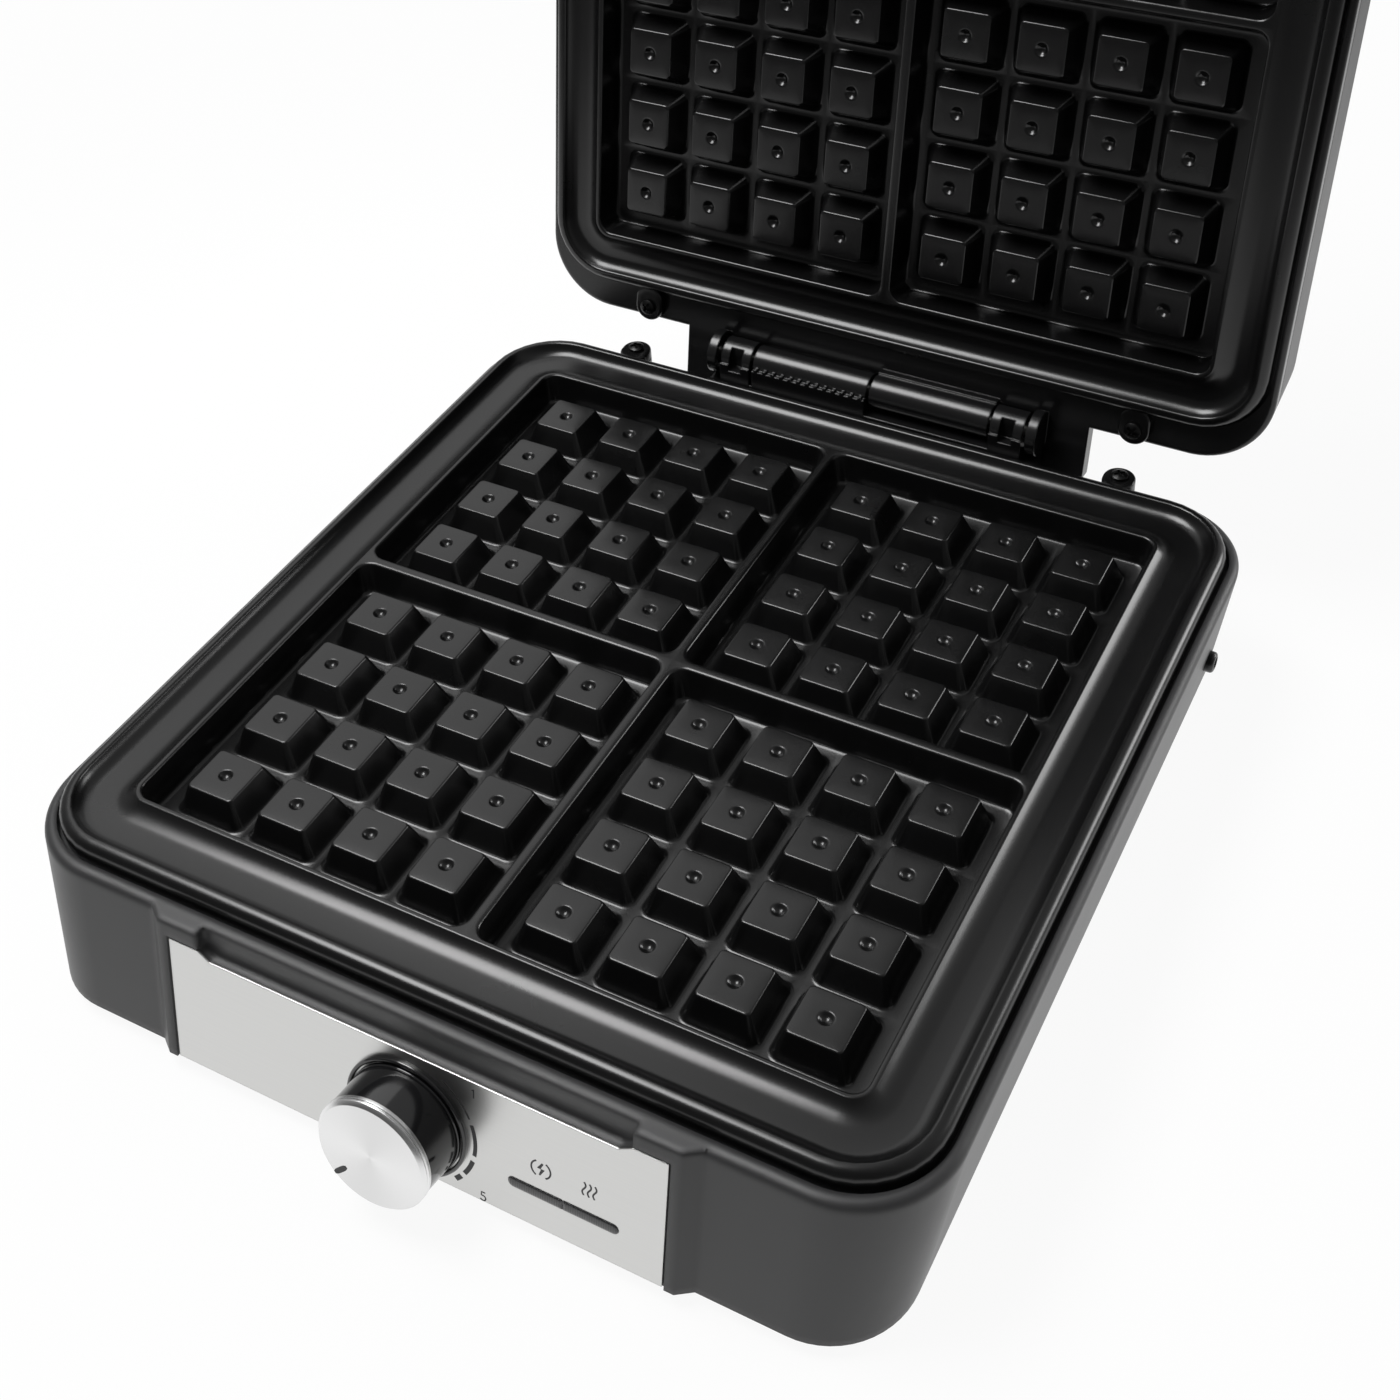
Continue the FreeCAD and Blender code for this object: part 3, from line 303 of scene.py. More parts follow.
def wall_profile(foot, top, hollow, crest):
    """A leaning wall from foot to top, both given as (distance, height), with a hollow at its foot and a rounded upper
    edge.  Each arc leaves the level as far from its corner as its radius times the tangent of half the wall's angle.
    The floor lies on the side of smaller distance."""
    turn = math.atan2(top[1] - foot[1], top[0] - foot[0])
    spread = math.tan(turn / 2)
    low = bend(foot[0] - hollow * spread, foot[1], hollow, 0.0, turn, ROUND_STEPS)
    return np.concatenate([low, bend(top[0] + crest * spread, top[1], -crest, turn, 0.0, ROUND_STEPS)])


def swell(radius, top_radius, height):
    """Profile of a soft step from (0, 0) up to its height: a hollow arc and a crown arc that meet on one slope, so
    the slope's cosine is 1 less the height over the sum of both radii."""
    turn = math.acos(1.0 - height / (radius + top_radius))
    width = (radius + top_radius) * math.sin(turn)
    low = bend(0.0, 0.0, radius, 0.0, turn, SWELL_STEPS)
    return np.concatenate([low, bend(width, height, -top_radius, turn, 0.0, SWELL_STEPS)[1:]])


# The cast plates


BLOCK_COUNT = 4
DIMPLE_SHARES = (1.9, 1.35, 1.12, 1.0, 0.8, 0.55, 0.25, 0.0)
DIMPLE_EDGE_SHARE = 0.06
TAB_STEPS = 32


def square_loop(centre, reach, corner, height):
    """A loop round a square with rounded corners, at a height."""
    x, y = centre
    return lifted(box_loop(x - reach, x + reach, y - reach, y + reach, [corner] * 4), height)


def block_cell(sizes, centre, bounds, radii):
    """One block with the floor round it: loops shrink from the cell's edge over the foot's hollow, up the leaning
    wall, round the upper edge and into a dimple that is a part of a sphere."""
    floor = sizes.pocket_floor
    top = floor + sizes.block_height
    crown = sizes.block_top / 2
    wall = wall_profile((-sizes.block_base / 2, floor), (-crown, top), sizes.floor_round, sizes.block_round)
    loops = [lifted(box_loop(*bounds, radii), floor)]
    for distance, height in wall:
        corner = max(sizes.block_corner - (distance + crown) / 2, sizes.block_corner / 2)
        loops.append(square_loop(centre, -distance, corner, height))
    depth = sizes.dimple_depth
    ball = (sizes.dimple_radius ** 2 + depth ** 2) / (2 * depth)
    for share in DIMPLE_SHARES:
        reach = sizes.dimple_radius * share
        sink = max(depth - ball + math.sqrt(max(ball ** 2 - reach ** 2, 0.0)), 0.0)
        if share == 1.0:
            sink = DIMPLE_EDGE_SHARE * depth
        loops.append(square_loop(centre, reach, reach, top - sink))
    return np.stack(loops)


def pocket_shares(cuts):
    """Shares of a pocket's side at the edges of its cells, with even points between."""
    marks = (np.array(cuts) - cuts[0]) / (cuts[-1] - cuts[0])
    pieces = [low + SIDE_SHARES[:-1] * (high - low) for low, high in zip(marks[:-1], marks[1:])]
    return np.append(np.concatenate(pieces), 1.0)


def quarter_mesh(sizes, half, lip_corner):
    """One quarter of a plate, where x and y are positive: the blocks' cells, the pocket's wall with the rim's top, and
    the gutter, lip and underside."""
    lip_z = PLATE_HIGH.z
    rim_z = lip_z - sizes.rim_drop
    floor = sizes.pocket_floor
    draft = sizes.pocket_draft_out
    wall = wall_profile((0.0, floor), (draft, rim_z), sizes.floor_round, sizes.edge_round)
    spread = -wall[0, 0]
    low = sizes.pocket_in + sizes.pocket_draft_in * (1.0 + spread / draft)
    high = sizes.pocket_out - draft - spread
    corner = sizes.pocket_corner - spread / 2
    middles = [sizes.block_first + index * sizes.block_pitch for index in range(BLOCK_COUNT)]
    edges = [low] + [middle + sizes.block_pitch / 2 for middle in middles[:-1]] + [high]
    last = BLOCK_COUNT - 1
    grids = []
    for i, j in np.ndindex(BLOCK_COUNT, BLOCK_COUNT):
        bounds = (edges[i], edges[i + 1], edges[j], edges[j + 1])
        radii = [corner if (i, j) == place else 0.0 for place in ((last, 0), (last, last), (0, last), (0, 0))]
        grids.append(block_cell(sizes, (middles[i], middles[j]), bounds, radii))
    shares = pocket_shares([low + corner] + edges[1:-1] + [high - corner])
    back = (1.0 - shares)[::-1]
    around = [shares, back, back, shares]
    loops = []
    for reach, height in wall:
        inner = sizes.pocket_in + sizes.pocket_draft_in * (1.0 - reach / draft)
        outer = sizes.pocket_out - draft + reach
        radii = [sizes.pocket_corner + reach / 2] * 4
        loops.append(lifted(box_loop(inner, outer, inner, outer, radii, around), height))
    rim = sizes.rim_half - sizes.edge_round
    radii = [0.0, sizes.rim_corner - sizes.edge_round, 0.0, 0.0]
    loops.append(lifted(box_loop(0.0, rim, 0.0, rim, radii, around), rim_z))
    outside = outer_grid(sizes, half, lip_corner, rim_z, lip_z - sizes.gutter_drop, shares)
    return join_grids(*grids, np.stack(loops[::-1]), strip=outside)


def outer_grid(sizes, half, lip_corner, rim_z, gutter_z, shares):
    """From the middle of the underside out to the flange, up and over the lip, through the gutter and up to the
    rim's top.  Each point of the profile is a half width, a corner radius and a height."""
    lip_z = PLATE_HIGH.z
    edge = sizes.edge_round
    profile = [(0.0, 0.0, PLATE_LOW.z), (sizes.pan_half - edge, sizes.pan_corner - edge, PLATE_LOW.z),
               (sizes.pan_half, sizes.pan_corner, PLATE_LOW.z + edge),
               (sizes.pan_half, sizes.pan_corner, sizes.flange_z),
               (half - edge, lip_corner - edge, sizes.flange_z), (half, lip_corner, sizes.flange_z + edge)]
    outside = arc((half - sizes.lip_round, lip_z - sizes.lip_round), sizes.lip_round, 0.0, 90.0, LIP_STEPS)
    step = swell(sizes.lip_hollow, sizes.lip_crest, lip_z - gutter_z)[::-1]
    inside = np.column_stack([half - sizes.lip_width - step[0, 0] + step[:, 0], gutter_z + step[:, 1]])
    for x, z in np.concatenate([outside, inside]):
        profile.append((x, lip_corner - half + x, z))
    step = swell(sizes.rim_hollow, sizes.edge_round, rim_z - gutter_z)
    for x, z in np.column_stack([sizes.rim_half - edge + step[-1, 0] - step[:, 0], gutter_z + step[:, 1]]):
        profile.append((x, sizes.rim_corner - sizes.rim_half + x, z))
    profile.append((sizes.rim_half - edge, sizes.rim_corner - edge, rim_z))
    rows = []
    for reach, corner, height in profile:
        turn = corner_points(reach - corner, reach - corner, corner, 1)
        first = np.column_stack([np.full(len(shares), reach), shares * (reach - corner)])
        last = first[::-1, ::-1]
        rows.append(lifted(np.concatenate([first[:-1], turn, last[1:]]), height))
    return np.stack(rows)


def tab_grid(sizes, side, half, tab_y):
    """A screw tab at the plate's back edge: a long loop with round ends, carried up its wall and over its edge."""
    reach = sizes.tab_radius
    high = sizes.tab_low + sizes.tab_thickness
    start = half - sizes.lip_width / 2
    rounding = sizes.tab_round
    profile = [(0.0, sizes.tab_low), (reach, sizes.tab_low)]
    profile += arc((reach - rounding, high - rounding), rounding, 0.0, 90.0, ROUND_STEPS).tolist()
    profile += [(reach / 2, high), (0.0, high)]
    angles = np.linspace(0.0, 2 * math.pi, TAB_STEPS, endpoint=False)
    rows = []
    for radius, height in profile:
        x = side * sizes.tab_x + radius * np.cos(angles)
        y = np.where(np.sin(angles) >= 0, tab_y, start + reach) + radius * np.sin(angles)
        rows.append(np.column_stack([x, y, np.full(len(angles), height)]))
    return np.stack(rows)


def plate_mesh(sizes, half, lip_corner, tab_y):
    """Points and faces of a plate as it lies in the base: one quarter turned over into four, and two tabs."""
    points, faces = quarter_mesh(sizes, half, lip_corner)
    parts = []
    corners = []
    start = 0
    for flip_x, flip_y in ((1, 1), (-1, 1), (-1, -1), (1, -1)):
        parts.append(points * np.array((flip_x, flip_y, 1.0)))
        corners.append((faces if flip_x * flip_y > 0 else faces[:, ::-1]) + start)
        start += len(points)
    tab_points, tab_faces = join_grids(*[tab_grid(sizes, side, half, tab_y) for side in (-1.0, 1.0)])
    points = np.concatenate(parts + [tab_points]) + np.array((0.0, PLATE_Y, 0.0))
    return points, np.concatenate(corners + [tab_faces + start])


def over_into_lid(points, faces, gap):
    """Turns a mesh of the closed base over the parting plane and opens it about the hinge, as the lid stands."""
    parting = PLATE_HIGH.z + gap / 2
    closed = points * np.array((1.0, 1.0, -1.0)) + np.array((0.0, 0.0, 2 * parting))
    turn = np.array(Matrix.Rotation(-OPEN_ANGLE, 3, "X"))
    hinge = np.array(HINGE)
    return (closed - hinge) @ turn.T + hinge, faces[:, ::-1]


# Turned pieces on the sloping front


def on_panel(across, up, out):
    """Points on the sloping panel: the knob's foot plus across, up the slope and outwards."""
    return (np.array(KNOB) + np.multiply.outer(across, np.array(ALONG)) + np.multiply.outer(up, np.array(UPWARD))
            + np.multiply.outer(out, np.array(OUTWARD)))


TURNED_STEPS = 96
LENS_SIDE_SHARES = np.linspace(0.0, 1.0, 9)
LENS_CORNER_SHARE = 1 / 6
LENS_SHOULDER_SHARE = 0.8


def spun(radii, steps, turn=0.0):
    """Circles with the given radii: radius times cosine across and radius times sine up, in even steps."""
    angles = np.linspace(0.0, 2 * math.pi, steps, endpoint=False) + turn
    return np.multiply.outer(radii, np.cos(angles)), np.multiply.outer(radii, np.sin(angles))


def turned_mesh(*parts):
    """A surface of revolution about the knob's axis: every profile point (radius, height) goes round in a circle.
    The profile, given in parts, runs anticlockwise from the axis at the back to the front."""
    profile = np.concatenate(parts)
    across, up = spun(profile[:, 0], TURNED_STEPS)
    out = np.repeat(profile[:, 1:], TURNED_STEPS, axis=1)
    return join_grids(on_panel(across, up, out))


def lens_mesh(sizes, left, right, up, side):
    """A low pillow over one half of the slot: loops with one round end shrink from the slot's edge to a middle line
    while they rise."""
    radius = sizes.light_height / 2
    over = sizes.light_overlap
    rise = sizes.light_rise
    insets = ((radius, -rise), (0.0, -rise), (-over, over / 2), (-over / 2, over),
              (radius / 4, LENS_SHOULDER_SHARE * rise), (radius / 2, rise), (radius, rise))
    loops = []
    for inset, height in insets:
        round_end = max(radius - inset, 0.0)
        flat_end = min(LENS_CORNER_SHARE * radius, round_end)
        radii = [round_end, round_end, flat_end, flat_end][::side]
        loop = box_loop(left + inset, right - inset, up - radius + inset, up + radius - inset, radii,
                        [LENS_SIDE_SHARES] * 4)
        loops.append(on_panel(*loop.T, np.full(len(loop), height)))
    return join_grids(np.stack(loops))


def ribbon_grid(path, widths, height):
    """A thin printed line on the panel: a flat rectangular section carried along a path in the panel's plane."""
    path = np.asarray(path, float)
    along = np.gradient(path, axis=0)
    along = along / np.linalg.norm(along, axis=1)[:, None]
    side = np.column_stack([-along[:, 1], along[:, 0]]) * (np.broadcast_to(widths, len(path)) / 2)[:, None]
    left = path + side
    right = path - side
    section = ((left, 0.0), (left, height), (right, height), (right, 0.0))
    grid = np.stack([on_panel(*edge.T, np.full(len(path), level)) for edge, level in section], axis=1)
    first, last = (np.tile(part.mean(axis=0), (1, 4, 1)) for part in (grid[0], grid[-1]))
    return np.concatenate([first, grid, last])


# Finishes


GROUP_INPUTS = {"Color": (0.5, 0.5, 0.5, 1.0), "Edge": 0.0005, "Roughness Low": 0.3, "Roughness High": 0.4,
                "Variation": 0.1}
GROUP_OUTPUTS = {"Color": "NodeSocketColor", "Roughness": "NodeSocketFloat", "Normal": "NodeSocketVector"}
BEVEL_SAMPLES = 6
PATCH_SCALE = 22.0
COAT_ROUGHNESS = 0.08
BRUSH_SCALE = (25.0, 4000.0, 4000.0)
RING_SCALE = 6000.0
CAP_ANISOTROPY = 0.7
# Painted sheen on the knob's cap: how many pairs of sectors are painted lighter and darker, their turn, and the
# darkest share of the colour
SHEEN_WEDGE_PAIRS = 2.0
SHEEN_WEDGE_TURN = 0.4
PAINTED_SHEEN_DARK = 0.86
FLUTE_SCALE = 450.0
FLUTE_HEIGHT = 0.00005


def feed(tree, node, values):
    """Links each value that is a socket to the node's input of that name, and sets any other there."""
    for label, value in values.items():
        entry = node.inputs[label]
        if isinstance(value, bpy.types.NodeSocket):
            tree.links.new(value, entry)
        else:
            entry.default_value = value


def add(tree, kind, values=None, operation=None):
    """A shader node, fed with values."""
    node = tree.nodes.new("ShaderNode" + kind)
    if operation:
        node.operation = operation
    feed(tree, node, values or {})
    return node


def maths(tree, operation, *values):
    """The result of a Math node."""
    return add(tree, "Math", dict(enumerate(values)), operation).outputs[0]


def vectors(tree, operation, *values):
    """A Vector Math node's outputs."""
    return add(tree, "VectorMath", dict(enumerate(values)), operation).outputs


def scaled(tree, vector, factor):
    """A vector or colour times a number."""
    return add(tree, "VectorMath", {0: vector, "Scale": factor}, "SCALE").outputs["Vector"]


def place(tree):
    """Places on the object, in metres."""
    return add(tree, "TexCoord").outputs["Object"]


def noise(tree, vector, scale, detail, roughness=0.5):
    """A noise texture on a vector."""
    values = {"Vector": vector, "Scale": scale, "Detail": detail, "Roughness": roughness}
    return add(tree, "TexNoise", values).outputs["Fac"]


def ranged(tree, value, low, high, start=0.0, end=1.0):
    """Maps start to end onto low to high."""
    values = {"Value": value, "From Min": start, "From Max": end, "To Min": low, "To Max": high}
    return add(tree, "MapRange", values).outputs["Result"]


def finish_group(name, inputs):
    """An empty node group for a finish; returns its tree and the sockets that it is given."""
    tree = bpy.data.node_groups.new(name, "ShaderNodeTree")
    for label, value in {**GROUP_INPUTS, **inputs}.items():
        kind = {float: "NodeSocketFloat", tuple: "NodeSocketColor"}.get(type(value), "NodeSocketVector")
        socket = tree.interface.new_socket(label, in_out="INPUT", socket_type=kind)
        if value is not None:
            socket.default_value = value
    for label, kind in GROUP_OUTPUTS.items():
        tree.interface.new_socket(label, in_out="OUTPUT", socket_type=kind)
    return tree, tree.nodes.new("NodeGroupInput").outputs


def close_group(tree, given, relief, depth, patches):
    """Feeds a group's outputs: relief as a normal over softened edges, and patches as roughness and as a faint change
    of the colour."""
    soft = add(tree, "Bevel", {"Radius": given["Edge"]})
    soft.samples = BEVEL_SAMPLES
    bump = add(tree, "Bump", {"Strength": 1.0, "Distance": depth, "Height": relief, "Normal": soft.outputs["Normal"]})
    shade = maths(tree, "MULTIPLY_ADD", patches, given["Variation"], 1.0)
    rough = ranged(tree, patches, given["Roughness Low"], given["Roughness High"])
    feed(tree, tree.nodes.new("NodeGroupOutput"), {"Color": scaled(tree, given["Color"], shade), "Roughness": rough,
                                                   "Normal": bump.outputs["Normal"]})
    return tree


def surface_group():
    """Surface detail for moulded and coated pieces: a fine grain over larger patches."""
    tree, given = finish_group("fine_surface", {"Grain Scale": 1800.0, "Grain Height": 0.00002})
    grain = noise(tree, place(tree), given["Grain Scale"], detail=3.0)
    patches = noise(tree, place(tree), PATCH_SCALE, detail=4.0, roughness=0.6)
    return close_group(tree, given, grain, given["Grain Height"], patches)


def brushed_group():
    """Brush lines on metal: noise on a vector that the material draws out along x or round a middle."""
    tree, given = finish_group("brushed_metal", {"Vector": None, "Line Height": 0.000004})
    lines = noise(tree, given["Vector"], 1.0, detail=3.0, roughness=0.65)
    return close_group(tree, given, lines, given["Line Height"], lines)


def grouped_material(name, group, base, rough, values, metallic=0.0, specular=0.5, coat=0.0):
    """A material fed by a finish group; returns the material, its shader and the group's node."""
    material = bpy.data.materials.new(name)
    material.use_nodes = True
    tree = material.node_tree
    shader = tree.nodes["Principled BSDF"]
    node = add(tree, "Group")
    node.node_tree = group
    feed(tree, node, {"Color": (*base, 1.0), "Roughness Low": rough[0], "Roughness High": rough[1], **values})
    colour_out, rough_out, normal_out = node.outputs
    feed(tree, shader, {"Metallic": metallic, "Specular IOR Level": specular, "Coat Weight": coat,
                        "Coat Roughness": COAT_ROUGHNESS, "Base Color": colour_out, "Roughness": rough_out,
                        "Normal": normal_out})
    return material, shader, node


def moulded(tree, name, base, rough, grain_scale, grain_height, edge, variation, specular=0.5, coat=0.0):
    """A moulded, coated or rubber finish."""
    values = {"Grain Scale": grain_scale, "Grain Height": grain_height, "Edge": edge, "Variation": variation}
    return grouped_material(name, tree, base, rough, values, specular=specular, coat=coat)[0]


def brushed(tree, name, base, rough, edge, line_height=0.000003, variation=0.1):
    """Bare metal, still without the vector of its brush lines."""
    values = {"Line Height": line_height, "Edge": edge, "Variation": variation}
    return grouped_material(name, tree, base, rough, values, metallic=1.0)


def straight_brushed(*values):
    """Metal brushed along x."""
    material, _, node = brushed(*values)
    tree = material.node_tree
    mapping = add(tree, "Mapping", {"Vector": place(tree), "Scale": BRUSH_SCALE})
    feed(tree, node, {"Vector": mapping.outputs["Vector"]})
    return material


def round_brushed(*values):
    """Metal turned on a lathe: fine rings about the knob's axis, highlights drawn out across them, and a painted sheen
    of two pairs of lighter and darker sectors painted into the colour."""
    material, shader, node = brushed(*values)
    tree = material.node_tree
    offset = vectors(tree, "SUBTRACT", place(tree), KNOB)["Vector"]
    around = vectors(tree, "CROSS_PRODUCT", offset, OUTWARD)["Vector"]
    rings = maths(tree, "MULTIPLY", vectors(tree, "LENGTH", around)["Value"], RING_SCALE)
    feed(tree, node, {"Vector": add(tree, "CombineXYZ", {"X": rings}).outputs["Vector"]})
    # Painted sheen: sectors round the axis are painted lighter and darker into the colour, in place of the lathe's
    # reflections
    reaches = [vectors(tree, "DOT_PRODUCT", offset, direction)["Value"] for direction in (UPWARD, ALONG)]
    wedges = maths(tree, "MULTIPLY_ADD", maths(tree, "ARCTAN2", *reaches), SHEEN_WEDGE_PAIRS, SHEEN_WEDGE_TURN)
    painted_sheen = ranged(tree, maths(tree, "COSINE", wedges), PAINTED_SHEEN_DARK, 1.0, -1.0)
    feed(tree, shader, {"Anisotropic": CAP_ANISOTROPY, "Tangent": around,
                        "Base Color": scaled(tree, node.outputs["Color"], painted_sheen)})
    return material


def add_flutes(material):
    """Faint upright flutes over a finish's own normal."""
    tree = material.node_tree
    normal = tree.nodes["Principled BSDF"].inputs["Normal"]
    wave = add(tree, "TexWave", {"Scale": FLUTE_SCALE, "Vector": place(tree)})
    bump = add(tree, "Bump", {"Distance": FLUTE_HEIGHT, "Height": wave.outputs["Fac"],
                              "Normal": normal.links[0].from_socket})
    tree.links.new(bump.outputs["Normal"], normal)


# Material name, colour or the name of its setting, least and greatest roughness, grain scale, grain height, softened
# edge, variation of the colour, and where they differ from the usual, specular level and coat
MOULDED = {
    "coating": ("non_stick_coating", "coating", (0.23, 0.30), 2600.0, 0.000006, 0.0002, 0.08),
    "housing": ("matte_housing", "housing", (0.36, 0.44), 2200.0, 0.000012, 0.0030, 0.06),
    "hinge": ("satin_black", "hinge", (0.22, 0.30), 2400.0, 0.000006, 0.0008, 0.08),
    "gloss": ("gloss_black", "gloss", (0.10, 0.16), 1200.0, 0.000002, 0.0002, 0.05, 0.5, 0.3),
    "ink": ("printed_ink", "ink", (0.45, 0.60), 3000.0, 0.000004, 0.0, 0.2),
    "rubber": ("rubber", "rubber", (0.70, 0.85), 1500.0, 0.00003, 0.0008, 0.15, 0.3),
    "lens": ("smoked_lens", "lens", (0.25, 0.35), 900.0, 0.00001, 0.0002, 0.15, 0.5, 0.4),
    "board": ("green_board", (0.03, 0.12, 0.05), (0.35, 0.5), 900.0, 0.00001, 0.0002, 0.3),
    "lamp": ("lamp_glass", (0.7, 0.3, 0.15), (0.1, 0.2), 900.0, 0.000004, 0.0002, 0.1, 0.5, 0.5),
    "pale": ("pale_block", (0.62, 0.60, 0.55), (0.5, 0.65), 1500.0, 0.00002, 0.0004, 0.1),
}
# Material name, colour or the name of its setting, least and greatest roughness, softened edge
BRUSHED = {
    "panel": ("brushed_panel", "panel", (0.26, 0.36), 0.0005),
    "steel": ("plain_steel", "steel", (0.25, 0.38), 0.0003),
    "dark_steel": ("blackened_steel", (0.03, 0.03, 0.03), (0.30, 0.42), 0.0002),
    "sheet": ("bright_sheet", (0.6, 0.6, 0.61), (0.2, 0.3), 0.0003),
    "tube": ("heater_tube", (0.2, 0.19, 0.185), (0.4, 0.55), 0.0002),
}
# The same, with the height of the turned rings and the variation of the colour
TURNED = {"cap": ("turned_cap", "cap", (0.20, 0.30), 0.0002, 0.000002, 0.08)}


def make_finishes(colours):
    """All finishes of the object, by name."""
    surface = surface_group()
    brush = brushed_group()
    for table, make, tree in ((MOULDED, moulded, surface), (BRUSHED, straight_brushed, brush),
                              (TURNED, round_brushed, brush)):
        for finish, (name, base, *values) in table.items():
            base = getattr(colours, base) if isinstance(base, str) else base
            FINISH[finish] = make(tree, name, base, *values)
    add_flutes(FINISH["lens"])


NODE_FINISH = {
    "housing": ("base_housing", "lid_cover", "lid_handle"),
    "hinge": ("lid_frame", "hinge_bracket", "base_bottom_cover", "cord_gland"),
    "coating": ("lower_waffle_plate", "upper_waffle_plate", "lower_waffle_blocks", "upper_waffle_blocks"),
    "panel": ("control_panel",),
    "gloss": ("knob_body", "knob_bezel", "knob_pointer"),
    "cap": ("knob_cap",),
    "lens": ("power_light_lens", "ready_light_lens"),
    "rubber": ("rubber_feet", "inner_leads"),
    "steel": ("bottom_screws", "lower_plate_screws", "upper_plate_screws", "hinge_bracket_screws",
              "lid_frame_screws", "lid_handle_screws", "hinge_pin", "thermostat_shaft"),
    "tube": ("lower_heating_element", "upper_heating_element"),
    "sheet": ("lower_heat_reflector", "upper_heat_reflector"),
    "board": ("indicator_board",),
    "lamp": ("indicator_lamps",),
    "pale": ("thermostat", "terminal_block"),
}


# Operators


COLLAR_STEPS = 4
COLLAR_ROUND_SHARE = 1 / 4
CHAMFER_SOFT_SHARE = 1 / 6
BEZEL_STEPS = 9
GROOVE_SHARES = (0.5, 0.625, 0.75, 0.875)
POINTER_SHARES = np.linspace(-0.5, 0.5, 7)
POINTER_STRETCH = 1.9
POINTER_FALL = 0.9

# Printed marks: places across and up the panel from the knob's axis, angles in degrees.  A dash has its first angle,
# last angle and width; a figure is drawn in shares of half its height.
DASHES = ((58.0, 24.0, 0.0006), (19.0, -10.0, 0.0012), (-16.0, -33.0, 0.0014), (-38.0, -45.0, 0.0016))
DASH_STEPS = 12
STROKE = 0.0005
BOW_STEPS = 14
BOLT_PLACE = (0.0412, 0.0027)
BOLT_POINTS = ((0.0005, 0.0022), (-0.0006, 0.0002), (0.0006, 0.0001), (-0.0004, -0.0021))
BOLT_WIDTHS = (0.0006, 0.0011, 0.0011, 0.0005)
BRACKET_RADIUS = 0.0029
BRACKET_ANGLES = ((-60.0, 60.0), (120.0, 240.0))
WAVE_PLACE = (0.0556, 0.0031)
WAVE_PITCH = 0.0016
WAVE_SWING = 0.0005
WAVE_HALF = 0.0023
WAVE_SHARES = np.linspace(-1.0, 1.0, 17)
ONE_PLACE = (0.0207, 0.0182)
ONE_SHARES = ((-0.35, 0.6), (0.0, 1.0), (0.0, -1.0))
FIVE_PLACE = (0.0236, -0.0168)
FIVE_BAR_SHARES = ((0.45, 1.0), (-0.35, 1.0))
FIVE_BOWL = ((-0.05, -0.38), 0.60, 120.0, -150.0)

# Screw heads, in shares of the head's radius and height, angles in radians
HEAD_SHARES = np.concatenate([[0.0, 1.0, 1.0], np.linspace(0.97, 0.0, 14)])
HEAD_STEPS = 64
HEAD_TURN = math.radians(20.0)
HEAD_DOME_SHARE = 0.45
HEAD_ANGLE = 30.0
CROSS_TURN = 0.6
CROSS_ARM_SHARE = 0.16
CROSS_REACH_SHARE = 0.62
CROSS_DEPTH_SHARE = 0.55

# Studio: each lamp has its size and place; the floor's shares and tones are those near the object and far off
LAMPS = {"top_light": ((0.7, 0.55), (-0.50, -0.15, 1.25)), "left_light": ((1.6, 1.2), (-1.10, 1.10, 1.50)),
         "right_light": ((0.8, 0.6), (1.30, 1.30, 0.55))}
LAMP_TARGET = Vector((0.0, 0.0, 0.06))
FLOOR_NEAR = 0.35
FLOOR_FAR = 0.95
FLOOR_SEEN_SHARES = (0.93, 1.0)
FLOOR_MIRRORED_SHARES = (0.93, 0.0)
FLOOR_TONES = (0.80, 0.15)
FLOOR_ROUGHNESS = 0.9
FLOOR_SPECULAR = 0.1
SKY_BLEND = 0.6
SENSOR_WIDTH = 36.0
CLIP_START = 0.01


class WAFFLE_OT_finishes(bpy.types.Operator):
    """Makes the finishes and gives one to every node of the model"""
    bl_idname = "waffle.finishes"
    bl_label = "Finishes"

    def execute(self, context):
        make_finishes(context.scene.waffle_colours)
        for finish, nodes in NODE_FINISH.items():
            for node in nodes:
                mesh = frame["nodes"][node].data
                mesh.materials.clear()
                mesh.materials.append(FINISH[finish])
        return {"FINISHED"}


class WAFFLE_OT_plates(bpy.types.Operator):
    """Builds the lower and the upper waffle plate"""
    bl_idname = "waffle.plates"
    bl_label = "Waffle plates"

    def execute(self, context):
        sizes = context.scene.waffle_plate
        mesh = plate_mesh(sizes, PLATE_HALF, sizes.corner, sizes.tab_y)
        dressed("lower_plate", mesh, "coating", "base", "nonstick", "lower_waffle_plate", "lower_waffle_blocks")
        mesh = over_into_lid(*plate_mesh(sizes, UPPER_HALF, sizes.upper_corner, sizes.upper_tab_y), sizes.gap)
        dressed("upper_plate", mesh, "coating", "lid", "nonstick", "upper_waffle_plate", "upper_waffle_blocks")
        return {"FINISHED"}


